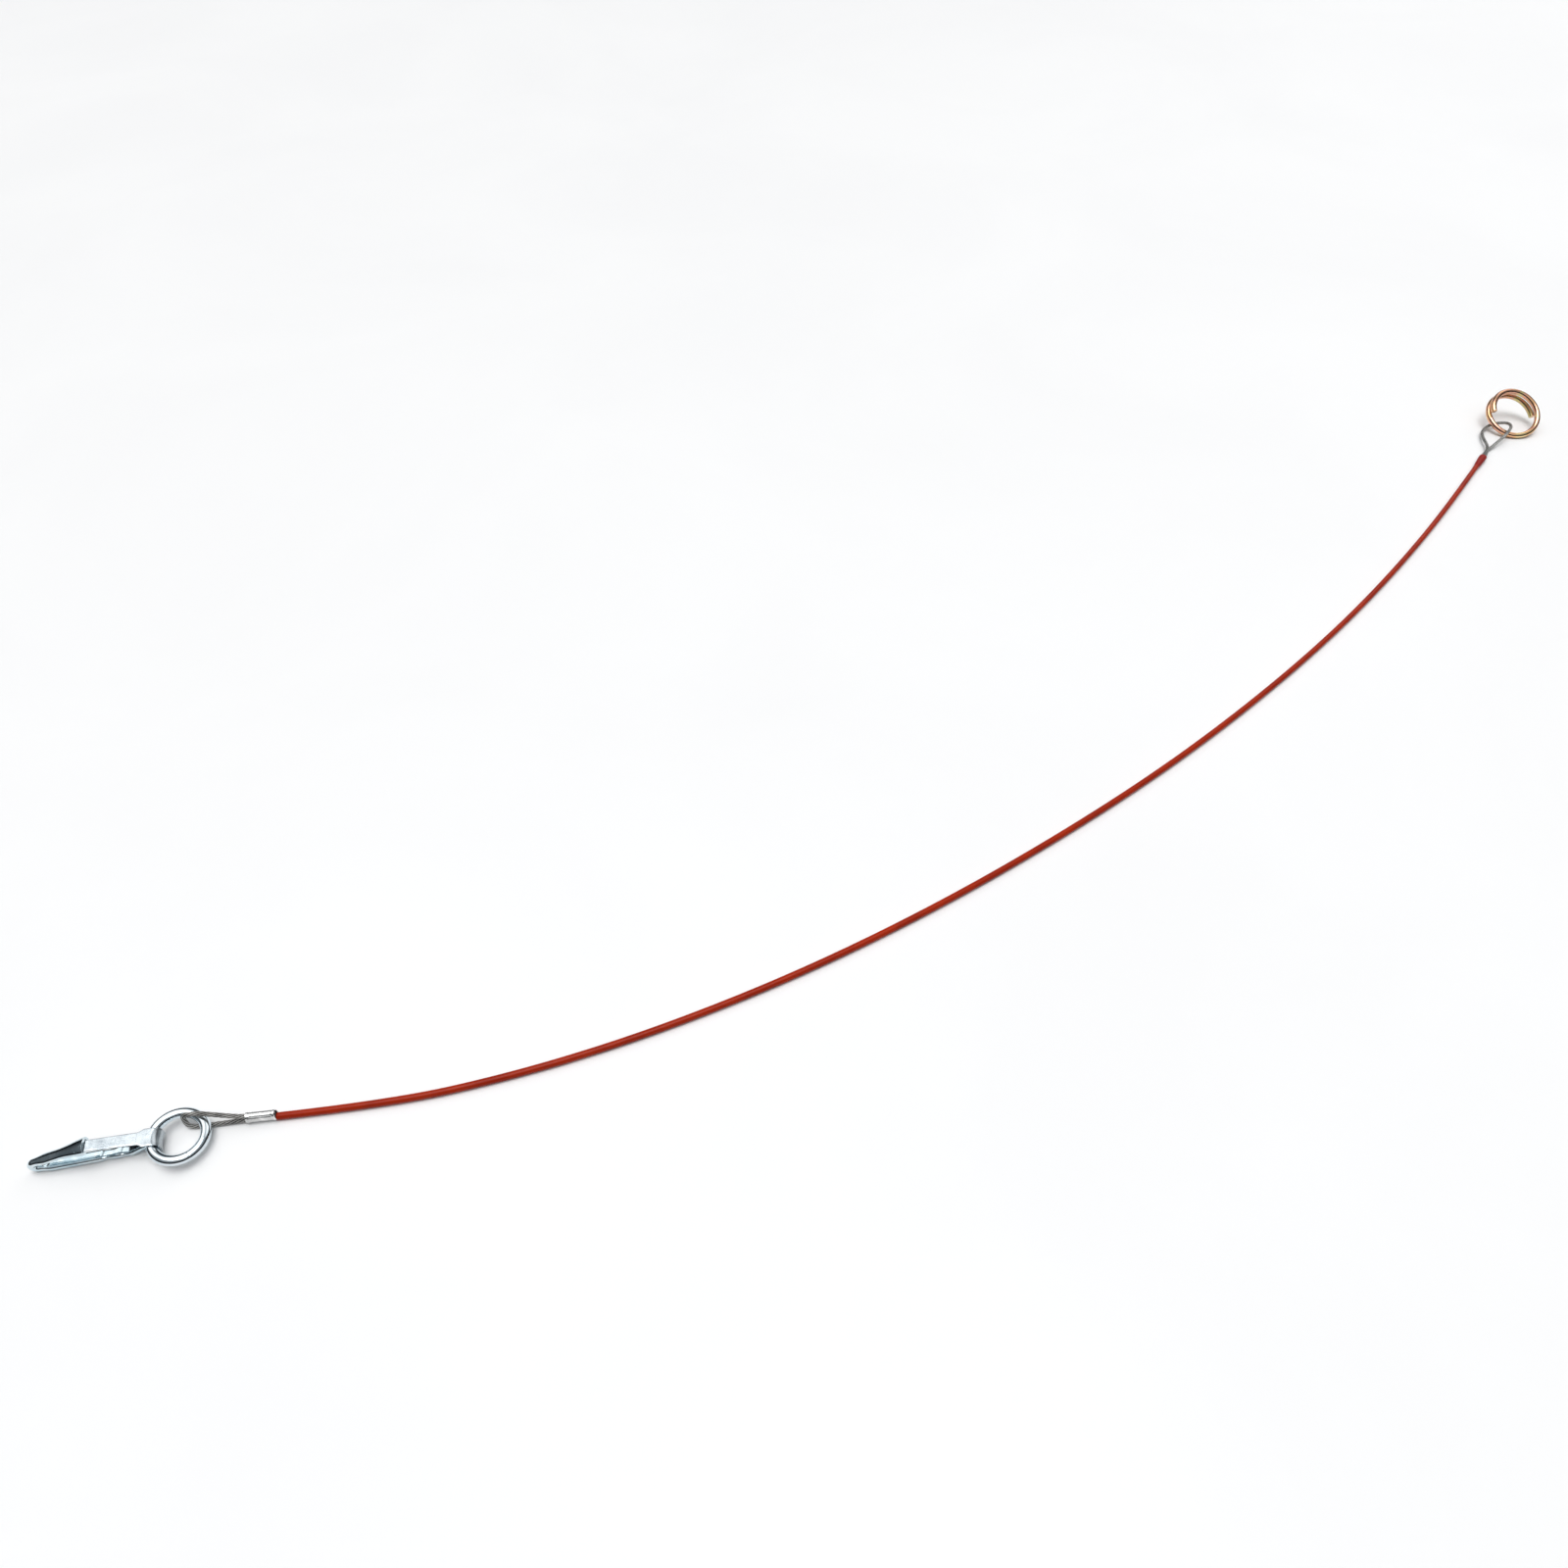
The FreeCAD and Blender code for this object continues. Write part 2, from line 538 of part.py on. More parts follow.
def make_burst_ring():
    """Spring wire coiled one and a half turns, leaning on its near edge."""
    helix = Part.makeHelix(BURST_PITCH, BURST_PITCH * BURST_TURNS, BURST_RADIUS)
    profile = Part.Wire(Part.makeCircle(BURST_WIRE / 2, Vector(BURST_RADIUS, 0, 0),
                                        Vector(0, BURST_RADIUS * 2 * math.pi, BURST_PITCH)))
    coil = Part.Wire(helix).makePipeShell([profile], True, True)
    coil.rotate(Vector(0, 0, 0), Vector(1, 0, 0), 180)
    coil.rotate(Vector(0, 0, 0), Vector(0, 0, 1), BURST_START)
    lean = Rotation(Vector(0, 0, 1), BURST_NORMAL)
    coil.Placement = FreeCAD.Placement(BURST_CENTRE, lean).multiply(coil.Placement)
    return coil


def build():
    """Every node's name and solid."""
    core, sleeve = make_cable()
    return {
        "hook_body": make_hook_body(),
        "gate_leaf": make_gate_leaf(),
        "leaf_clasp": make_leaf_clasp(),
        "eye_ring": ring_solid(),
        "near_eye": make_near_eye(),
        "near_ferrule": make_near_ferrule(),
        "cable_core": core,
        "cable_sleeve": sleeve,
        "far_collar": make_far_collar(),
        "far_crimp": make_far_crimp(),
        "far_eye": make_far_eye(),
        "burst_ring": make_burst_ring(),
    }


os.makedirs("parts", exist_ok=True)
for node, shape in build().items():
    print(node, "valid", shape.isValid(), "solids", len(shape.Solids), "volume", round(shape.Volume, 1))
    shape.exportStep("parts/" + node + ".step")
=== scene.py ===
"""Looks of a breakaway lanyard: snap hook, coated rope and burst ring, in metres."""

import logging
import math
from collections.abc import Sequence
from dataclasses import dataclass, field
from enum import Enum

import bpy
import numpy as np
from bpy.types import Material, Node, NodeSocket, NodeTree, Object
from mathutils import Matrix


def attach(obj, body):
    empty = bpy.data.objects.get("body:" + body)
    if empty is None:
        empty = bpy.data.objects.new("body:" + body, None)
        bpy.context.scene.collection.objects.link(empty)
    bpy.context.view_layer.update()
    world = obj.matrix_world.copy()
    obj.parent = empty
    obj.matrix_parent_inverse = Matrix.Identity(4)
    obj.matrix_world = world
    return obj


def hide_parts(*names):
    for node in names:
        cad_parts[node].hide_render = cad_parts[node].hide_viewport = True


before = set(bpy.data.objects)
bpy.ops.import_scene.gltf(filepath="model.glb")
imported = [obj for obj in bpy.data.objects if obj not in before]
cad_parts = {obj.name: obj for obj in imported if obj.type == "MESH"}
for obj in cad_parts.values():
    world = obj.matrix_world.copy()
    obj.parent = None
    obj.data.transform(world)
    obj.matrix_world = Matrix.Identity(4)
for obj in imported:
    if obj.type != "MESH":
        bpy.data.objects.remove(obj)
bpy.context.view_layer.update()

MM = 0.001
LOG = logging.getLogger("lanyard")
LEVEL_UP = np.array([0.0, 0.0, 1.0])

TURN = 2 * math.pi
PATTERN = 0.01                  # metres of a piece in one step of its pattern
SPLINE_STEPS = 40
EDGE_STEPS = 2
EDGE_ANGLE = math.radians(40.0)

Array = np.ndarray
Pair = tuple[float, float]
Point = tuple[float, float, float]
Colour = tuple[float, float, float, float]


class Body(Enum):
    """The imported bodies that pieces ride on."""

    HOOK = "hook"
    LEAF = "leaf"
    RING = "ring"
    COIL = "coil"


# ---- numbers into shapes ----
def unit(vectors: Array) -> Array:
    """Each vector divided by its own length."""
    return vectors / np.linalg.norm(vectors, axis=-1, keepdims=True)


def smooth_step(values: Array, low: float, high: float) -> Array:
    """Rises from 0 at low to 1 at high along 3t^2 - 2t^3."""
    share = np.clip((values - low) / (high - low), 0.0, 1.0)
    return share * share * (3.0 - 2.0 * share)


def distances(path: Array) -> Array:
    """Length along a path up to each of its points."""
    steps = np.linalg.norm(np.diff(path, axis=0), axis=1)
    return np.concatenate([[0.0], np.cumsum(steps)])


def tangents(path: Array) -> Array:
    """Unit direction of a path at each of its points, by central differences."""
    return unit(np.gradient(path, axis=0))


def even_path(path: Array, step: float) -> Array:
    """The same path with its points an even step apart.

    Args:
        path: Points of the path.
        step: Wanted distance between two points.

    Returns:
        Points read off the path at equal lengths.
    """
    along = distances(path)
    count = max(2, int(round(along[-1] / step)) + 1)
    wanted = np.linspace(0.0, along[-1], count)
    return np.stack([np.interp(wanted, along, path[:, axis]) for axis in range(3)], axis=1)


def filleted(points: Array, radii: list[float], step: float) -> Array:
    """Straight runs joined by tangent arcs.

    At each corner the arc's centre lies on the line that halves the angle, and the arc starts
    radius times tan(half turn) before the corner.

    Args:
        points: Corner points, ends included.
        radii: One radius for each inner corner.
        step: Distance between two points of the result.

    Returns:
        Evenly spaced points along the path.
    """
    pieces = [points[:1]]
    for corner, radius in zip(range(1, len(points) - 1), radii):
        inward = unit(points[corner] - points[corner - 1])
        outward = unit(points[corner + 1] - points[corner])
        turn = math.acos(float(np.clip(inward @ outward, -1.0, 1.0)))
        start = points[corner] - inward * radius * math.tan(turn / 2)
        bend = unit(outward - inward * math.cos(turn))
        angles = np.linspace(0.0, turn, 24)[:, None]
        arc = inward * np.sin(angles) + bend * (1 - np.cos(angles))
        pieces.append(start + radius * arc)
    pieces.append(points[-1:])
    return even_path(np.concatenate(pieces), step)


def spline_line(name: str, points: Array) -> Array:
    """Points read from an open quadratic NURBS spline over given control points.

    Args:
        name: Name for the short-lived curve.
        points: Control points in metres.

    Returns:
        Points along the spline, in order.
    """
    curve = bpy.data.curves.new(name, "CURVE")
    curve.dimensions = "3D"
    spline = curve.splines.new("NURBS")
    spline.points.add(len(points) - 1)
    spline.points.foreach_set("co", np.column_stack([points, np.ones(len(points))]).ravel())
    spline.order_u = 3
    spline.use_endpoint_u = True
    spline.resolution_u = SPLINE_STEPS
    holder = bpy.data.objects.new(name, curve)
    mesh = bpy.data.meshes.new_from_object(holder)
    line = np.empty(len(mesh.vertices) * 3)
    mesh.vertices.foreach_get("co", line)
    bpy.data.objects.remove(holder)
    bpy.data.curves.remove(curve)
    bpy.data.meshes.remove(mesh)
    return line.reshape(-1, 3)


def round_angles(columns: int) -> Array:
    """One row of angles once round, with the first not repeated."""
    return np.linspace(0.0, TURN, columns, endpoint=False)[None, :]


def powered(angle: Array, power: float | Array) -> tuple[Array, Array]:
    """Cosine and sine of an angle, each raised to 2 / power with its sign kept."""
    cosine, sine = np.cos(angle), np.sin(angle)
    return (np.sign(cosine) * np.abs(cosine) ** (2.0 / power),
            np.sign(sine) * np.abs(sine) ** (2.0 / power))


def carried(middle: Array, side: Array, over: Array, across: Array, upward: Array) -> Array:
    """Section points, each moved sideways and over from the middle of its row."""
    side, over = (np.broadcast_to(way, middle.shape)[:, None] for way in (side, over))
    return middle[:, None] + side * across[..., None] + over * upward[..., None]


def pattern(along: Array, columns: int) -> Array:
    """Pattern coordinates: what is given along the rows, and turns round."""
    around = np.linspace(0.0, 1.0, columns + 1)[None, :]
    return np.stack(np.broadcast_arrays(along, around), axis=-1)


@dataclass
class Skin:
    """A closed surface on a grid: rows go along the piece, columns go round it.

    Attributes:
        grid: Rows by columns by 3, in metres. Columns turn from side towards over.
        uv: Rows by columns + 1 by 2, the pattern's coordinates.
        loop: True where the last row joins the first, as on a ring.
    """

    grid: Array
    uv: Array
    loop: bool = False

    def faces(self) -> Array:
        """Quads between neighbouring rows and columns, all facing outwards."""
        rows, columns = self.grid.shape[:2]
        last = rows if self.loop else rows - 1
        row = np.arange(last)[:, None]
        column = np.arange(columns)[None, :]
        after, beyond = (row + 1) % rows, (column + 1) % columns
        corners = [row * columns + column, row * columns + beyond,
                   after * columns + beyond, after * columns + column]
        return np.stack(np.broadcast_arrays(*corners), axis=-1).reshape(-1, 4)

    def ends(self) -> list[list[int]]:
        """Faces that zip each end row shut: quads from column j to column -j, and two tips."""
        if self.loop:
            return []
        rows, columns = self.grid.shape[:2]
        half = columns // 2
        j = np.arange(1, half - 1)
        quads = np.stack([j, j + 1, columns - j - 1, columns - j], axis=-1)
        tips = np.array([[0, 1, columns - 1], [half, half + 1, half - 1]])
        last = (rows - 1) * columns
        return [face for flat in (quads, tips)
                for face in flat[:, ::-1].tolist() + (flat + last).tolist()]

    def mapping(self) -> Array:
        """Pattern coordinates of every quad corner, with the seam kept open."""
        rows, columns = self.grid.shape[:2]
        last = rows if self.loop else rows - 1
        row = np.arange(last)[:, None]
        column = np.arange(columns)[None, :]
        after = np.minimum(row + 1, self.uv.shape[0] - 1)
        parts = [self.uv[row, column], self.uv[row, column + 1],
                 self.uv[after, column + 1], self.uv[after, column]]
        return np.stack(parts, axis=2).reshape(-1, 2)

    def piece(self, name: str, material: Material, crease: float = 35.0):
        """The surface as a Blender object at the origin.

        Args:
            name: Piece name.
            material: Finish of the whole piece.
            crease: Edges sharper than this many degrees stay crisp.

        Returns:
            The new object.
        """
        faces = self.faces().tolist()
        mesh = bpy.data.meshes.new(name)
        mesh.from_pydata(self.grid.reshape(-1, 3).tolist(), [], faces + self.ends())
        layer = mesh.uv_layers.new(name="UVMap")
        corners = np.zeros((len(mesh.loops), 2))
        known = self.mapping()
        corners[:len(known)] = known
        tail = np.empty(len(mesh.loops), dtype=np.int32)
        mesh.loops.foreach_get("vertex_index", tail)
        corners[len(known):] = self.uv[:, :-1].reshape(-1, 2)[tail[len(known):]]
        layer.data.foreach_set("uv", corners.ravel())
        mesh.polygons.foreach_set("use_smooth", np.ones(len(mesh.polygons), dtype=bool))
        mesh.set_sharp_from_angle(angle=math.radians(crease))
        mesh.materials.append(material)
        mesh.update()
        thing = bpy.data.objects.new(name, mesh)
        bpy.context.scene.collection.objects.link(thing)
        return thing


@dataclass
class Loft:
    """Sections carried along a path.

    A section's point at angle a is side * wide * c + over * tall * s, where c and s are the
    cosine and sine of a, each raised to 2 / power with its sign kept.
    """

    path: Array
    over: Array
    wide: Array
    tall: Array
    power: float | Array
    columns: int

    def frames(self) -> tuple[Array, Array]:
        """Side and over directions at each row, square to the path."""
        along = tangents(self.path)
        over = self.over - along * np.sum(self.over * along, axis=1, keepdims=True)
        over = unit(over)
        return np.cross(over, along), over

    def offsets(self) -> tuple[Array, Array]:
        """Sideways and upward shares of every section point."""
        rows = (len(self.path),)
        power, wide, tall = (np.broadcast_to(size, rows)[:, None]
                             for size in (self.power, self.wide, self.tall))
        across, upward = powered(round_angles(self.columns), power)
        return across * wide, upward * tall

    def coordinates(self) -> Array:
        """Pattern coordinates along and round."""
        return pattern(distances(self.path)[:, None] / PATTERN, self.columns)

    def skin(self) -> Skin:
        """The lofted surface."""
        return Skin(carried(self.path, *self.frames(), *self.offsets()), self.coordinates())


def rounded_ends(path: Array, size: Array, reach: float) -> Array:
    """A size that closes in over a quarter circle at both ends of a path.

    Args:
        path: Points of the path.
        size: Full size at each point.
        reach: Length of the rounding.

    Returns:
        The size with the rounding applied.
    """
    along = distances(path)
    edge = np.clip(np.minimum(along, along[-1] - along) / reach, 0.0, 1.0)
    drop = reach * (1.0 - np.sqrt(np.clip(1.0 - (1.0 - edge) ** 2, 0.0, 1.0)))
    return np.maximum(size - drop, size * 0.02)


# ---- shader groups ----
class Wiring:
    """Shorthand for laying nodes in a tree."""

    def __init__(self, tree: NodeTree) -> None:
        """Starts on an emptied tree."""
        self.tree = tree
        tree.nodes.clear()

    def node(self, kind: str, values: dict | None = None, **settings) -> Node:
        """Adds a node.

        Args:
            kind: Node type without its ShaderNode prefix.
            values: Socket numbers or links by socket name.
            **settings: Plain properties of the node.

        Returns:
            The node.
        """
        made = self.tree.nodes.new(kind if kind.startswith("Node") else "ShaderNode" + kind)
        for key, value in settings.items():
            setattr(made, key, value)
        for key, value in (values or {}).items():
            socket = made.inputs[key]
            if isinstance(value, NodeSocket):
                self.tree.links.new(value, socket)
            else:
                socket.default_value = value
        return made

    def math(self, operation: str, first, second=0.0):
        """A Math node's result."""
        return self.node("Math", {0: first, 1: second}, operation=operation).outputs[0]

    def times(self, first, second):
        """Two values multiplied."""
        return self.math("MULTIPLY", first, second)

    def plus(self, first, second):
        """Two values added."""
        return self.math("ADD", first, second)

    def wave(self, place, slant: float, count: float):
        """A wave from 0 to 1 that slants across a pattern.

        Args:
            place: Node that splits the pattern's coordinates.
            slant: Waves for each step along.
            count: Waves for each turn round.
        """
        along, around = place.outputs["X"], place.outputs["Y"]
        turns = self.plus(self.times(around, count), self.times(along, slant))
        return self.spread(self.math("SINE", self.times(turns, TURN)), -1.0, 1.0, 0.0, 1.0)

    def spread(self, value, low: float, high: float, new_low: float, new_high: float):
        """A value moved from one range to another and kept inside it."""
        made = self.node("MapRange", {"Value": value, "From Min": low, "From Max": high,
                                      "To Min": new_low, "To Max": new_high})
        return made.outputs["Result"]

    def bump(self, height, depth: float, strength: float):
        """A normal from a height; the depth is in metres."""
        return self.node("Bump", {"Height": height, "Distance": depth,
                                  "Strength": strength}).outputs[0]

    def pattern(self):
        """The pattern's coordinates, split."""
        return self.node("SeparateXYZ", {"Vector": self.node("TexCoord").outputs["UV"]})

    def blend(self, share, first, second):
        """A colour between two others."""
        made = self.node("Mix", data_type="RGBA")
        for index, value in ((0, share), (6, first), (7, second)):
            if isinstance(value, NodeSocket):
                self.tree.links.new(value, made.inputs[index])
            else:
                made.inputs[index].default_value = value
        return made.outputs[2]

    def ramp(self, share, stops: Sequence[tuple[float, Colour]]):
        """A colour read from a row of stops."""
        made = self.node("ValToRGB", {"Fac": share})
        elements = made.color_ramp.elements
        elements[0].position, elements[0].color = stops[0]
        elements[1].position, elements[1].color = stops[-1]
        for position, colour in stops[1:-1]:
            elements.new(position).color = colour
        return made.outputs["Color"]


def new_group(name: str, inputs: dict[str, float], outputs: dict[str, str]):
    """An empty shader node group with named sockets.

    Args:
        name: Group name.
        inputs: Number sockets and what they start at.
        outputs: Output sockets and their kinds.

    Returns:
        The group and a wiring helper for it.
    """
    group = bpy.data.node_groups.new(name, "ShaderNodeTree")
    for label, start in inputs.items():
        socket = group.interface.new_socket(label, in_out="INPUT", socket_type="NodeSocketFloat")
        socket.default_value = start
    for label, kind in outputs.items():
        group.interface.new_socket(label, in_out="OUTPUT", socket_type=kind)
    return group, Wiring(group)


def mottle_group() -> NodeTree:
    """Cloudy stains and fine pits on a plated surface: a mask, and a height of both."""
    group, wires = new_group("plating mottle", {"Cloud Size": 90.0, "Pit Size": 900.0},
                             {"Mask": "NodeSocketFloat", "Pits": "NodeSocketFloat",
                              "Height": "NodeSocketFloat"})
    entry = wires.node("NodeGroupInput")
    place = wires.node("TexCoord").outputs["Object"]
    cloud = wires.node("TexNoise", {"Vector": place, "Scale": entry.outputs["Cloud Size"],
                                    "Detail": 5.0, "Roughness": 0.55, "Distortion": 0.6})
    pits = wires.node("TexNoise", {"Vector": place, "Scale": entry.outputs["Pit Size"],
                                   "Detail": 3.0, "Roughness": 0.6})
    mask = wires.spread(cloud.outputs["Fac"], 0.36, 0.64, 0.0, 1.0)
    deep = wires.spread(pits.outputs["Fac"], 0.3, 0.7, 0.0, 1.0)
    height = wires.plus(wires.times(mask, 0.7), wires.times(deep, 0.3))
    wires.node("NodeGroupOutput", {"Mask": mask, "Pits": deep, "Height": height})
    return group


def wear_group() -> NodeTree:
    """Rubbed edges: where the surface is sharply convex and a coarse noise lets it show."""
    group, wires = new_group("edge rub", {"Patch Size": 220.0, "Amount": 0.5},
                             {"Mask": "NodeSocketFloat"})
    entry = wires.node("NodeGroupInput")
    place = wires.node("TexCoord").outputs["Object"]
    patch = wires.node("TexNoise", {"Vector": place, "Scale": entry.outputs["Patch Size"],
                                    "Detail": 4.0})
    point = wires.node("NewGeometry").outputs["Pointiness"]
    edge = wires.spread(point, 0.52, 0.60, 0.0, 1.0)
    broken = wires.spread(patch.outputs["Fac"], 0.35, 0.6, 0.2, 1.0)
    mask = wires.times(wires.times(edge, broken), entry.outputs["Amount"])
    wires.node("NodeGroupOutput", {"Mask": mask})
    return group


def scratch_group() -> NodeTree:
    """Fine streaks drawn out along the piece's pattern: a mask and a height."""
    group, wires = new_group("drawn streaks", {"Along": 1.0, "Across": 60.0},
                             {"Mask": "NodeSocketFloat", "Height": "NodeSocketFloat"})
    entry = wires.node("NodeGroupInput")
    parts = wires.pattern()
    stretched = wires.node("CombineXYZ", {
        "X": wires.times(parts.outputs["X"], entry.outputs["Along"]),
        "Y": wires.times(parts.outputs["Y"], entry.outputs["Across"])})
    fine = wires.node("TexNoise", {"Vector": stretched.outputs[0], "Scale": 1.0, "Detail": 6.0,
                                   "Roughness": 0.7})
    mask = wires.spread(fine.outputs["Fac"], 0.35, 0.65, 0.0, 1.0)
    wires.node("NodeGroupOutput", {"Mask": mask, "Height": mask})
    return group


@dataclass(frozen=True)
class ShaderKit:
    """The shared effects, each built once."""

    mottle: NodeTree
    wear: NodeTree
    streaks: NodeTree

    @staticmethod
    def build() -> "ShaderKit":
        """Builds every group."""
        return ShaderKit(mottle_group(), wear_group(), scratch_group())


def shader_wires(name: str) -> tuple[Material, Wiring]:
    """A new material and its wiring helper."""
    material = bpy.data.materials.new(name)
    material.use_nodes = True
    return material, Wiring(material.node_tree)


def placed(wires: Wiring, group: NodeTree, **values: float) -> Node:
    """A group put in a material with its own numbers; underscores stand for spaces."""
    made = wires.node("Group", node_tree=group)
    for key, value in values.items():
        made.inputs[key.replace("_", " ")].default_value = value
    return made


def surface(wires: Wiring, colour, roughness, normal, numbers: dict[str, float]) -> None:
    """Puts the Principled shader and the output in a material.

    Args:
        wires: Helper on the material's tree.
        colour: Socket or plain colour.
        roughness: Socket or plain number.
        normal: Normal socket.
        numbers: Plain shader numbers by socket name.
    """
    values = {"Base Color": colour, "Roughness": roughness, "Normal": normal}
    shader = wires.node("BsdfPrincipled", {**values, **numbers})
    wires.node("OutputMaterial", {"Surface": shader.outputs[0]})


@dataclass(frozen=True)
class PlatedSteel:
    """Bright zinc or passivated plating with clouded gloss, pits and rubbed edges.

    Attributes:
        name: Material name.
        tones: Plating colours from its thin to its thick places.
        rubbed: Colour of bare metal on worn edges.
        gloss: Lowest and highest roughness.
        cloud: Scale of the clouds, per metre.
        relief: Depth of the bump, in metres.
        wear: How far worn edges show.
    """

    name: str
    tones: tuple[Colour, ...]
    rubbed: Colour
    gloss: Pair
    cloud: float
    relief: float
    wear: float

    def build(self, kit: ShaderKit) -> Material:
        """Makes the material."""
        material, wires = shader_wires(self.name)
        mottle = placed(wires, kit.mottle, Cloud_Size=self.cloud, Pit_Size=self.cloud * 12)
        wear = placed(wires, kit.wear, Patch_Size=self.cloud * 3, Amount=self.wear)
        count = len(self.tones) - 1
        stops = [(index / count, tone) for index, tone in enumerate(self.tones)]
        plated = wires.ramp(mottle.outputs["Mask"], stops)
        colour = wires.blend(wear.outputs["Mask"], plated, self.rubbed)
        rough = wires.spread(mottle.outputs["Height"], 0.0, 1.0, *self.gloss)
        bump = wires.bump(mottle.outputs["Height"], self.relief, 0.6)
        surface(wires, colour, rough, bump, {"Metallic": 1.0})
        return material


@dataclass(frozen=True)
class DrawnSteel:
    """Plated steel with streaks drawn along its length.

    Attributes:
        name: Material name.
        light: Colour between the streaks.
        dark: Colour of the streaks.
        gloss: Lowest and highest roughness.
        across: Streaks round the piece.
    """

    name: str
    light: Colour
    dark: Colour
    gloss: Pair
    across: float

    def build(self, kit: ShaderKit) -> Material:
        """Makes the material."""
        material, wires = shader_wires(self.name)
        streaks = placed(wires, kit.streaks, Along=1.6, Across=self.across)
        mottle = placed(wires, kit.mottle, Cloud_Size=140.0, Pit_Size=1500.0)
        share = wires.times(streaks.outputs["Mask"], mottle.outputs["Mask"])
        colour = wires.blend(share, self.light, self.dark)
        rough = wires.spread(streaks.outputs["Mask"], 0.0, 1.0, *self.gloss)
        bump = wires.bump(streaks.outputs["Height"], 0.00002, 0.5)
        surface(wires, colour, rough, bump, {"Metallic": 1.0})
        return material


@dataclass(frozen=True)
class WireRope:
    """Bare steel strands: fine wires slanting across each strand, darkened in the valleys between
    strands and between wires.

    Attributes:
        name: Material name.
        wire: Colour of the wires.
        gap: Colour that the valleys between strands and wires are darkened towards.
        wires_per_strand: Wires across one strand.
        slant: Wires crossed in one step along.
    """

    name: str
    wire: Colour
    gap: Colour
    wires_per_strand: float = 5.0
    slant: float = 5.5

    def build(self, kit: ShaderKit) -> Material:
        """Makes the material."""
        material, wires = shader_wires(self.name)
        place = wires.pattern()
        ridge = wires.wave(place, self.slant, self.wires_per_strand)
        strand = wires.math("COSINE", wires.times(place.outputs["Y"], TURN))
        valley = wires.spread(strand, -0.2, 1.0, 0.0, 1.0)
        mottle = placed(wires, kit.mottle, Cloud_Size=160.0, Pit_Size=2600.0)
        between = wires.times(wires.math("SUBTRACT", 1.0, ridge), 0.5)
        # The valleys between strands and the grooves between wires are darkened towards the gap
        # colour.
        valley_darkening = wires.math("MAXIMUM", valley, between)
        stain = wires.times(mottle.outputs["Mask"], 0.35)
        share = wires.math("MINIMUM", wires.plus(valley_darkening, stain), 1.0)
        colour = wires.blend(share, self.wire, self.gap)
        rough = wires.spread(share, 0.0, 1.0, 0.28, 0.6)
        surface(wires, colour, rough, wires.bump(ridge, 0.00006, 0.9), {"Metallic": 0.9})
        return material


@dataclass(frozen=True)
class RedCoating:
    """Red coating, a little uneven, with the rope's lay showing through as low ridges.

    Attributes:
        name: Material name.
        light: Colour of its clean places.
        deep: Colour of its stained places.
        gloss: Lowest and highest roughness.
        ridges: Ridges round the coating.
        slant: Ridges crossed in one step along.
    """

    name: str
    light: Colour
    deep: Colour
    gloss: Pair
    ridges: float
    slant: float = 3.2

    def build(self, kit: ShaderKit) -> Material:
        """Makes the material."""
        material, wires = shader_wires(self.name)
        lay = wires.wave(wires.pattern(), self.slant, self.ridges)
        mottle = placed(wires, kit.mottle, Cloud_Size=45.0, Pit_Size=1400.0)
        streaks = placed(wires, kit.streaks, Along=0.7, Across=22.0)
        share = wires.plus(wires.times(mottle.outputs["Mask"], 0.6),
                           wires.times(streaks.outputs["Mask"], 0.4))
        colour = wires.blend(share, self.light, self.deep)
        rough = wires.spread(share, 0.0, 1.0, *self.gloss)
        height = wires.plus(wires.times(lay, 0.55), wires.times(mottle.outputs["Pits"], 0.45))
        bump = wires.bump(height, 0.00005, 0.35)
        surface(wires, colour, rough, bump, {"Specular IOR Level": 0.14})
        return material


@dataclass(frozen=True)
class PaleFloor:
    """Plain pale sheet under the lanyard."""

    name: str = "pale_floor"
    light: Colour = (0.93, 0.93, 0.93, 1.0)
    dim: Colour = (0.91, 0.91, 0.912, 1.0)

    def build(self, kit: ShaderKit) -> Material:
        """Makes the material."""
        material, wires = shader_wires(self.name)
        mottle = placed(wires, kit.mottle, Cloud_Size=3.0, Pit_Size=400.0)
        colour = wires.blend(mottle.outputs["Mask"], self.light, self.dim)
        surface(wires, colour, 0.6, wires.bump(mottle.outputs["Pits"], 0.00002, 0.1), {})
        return material


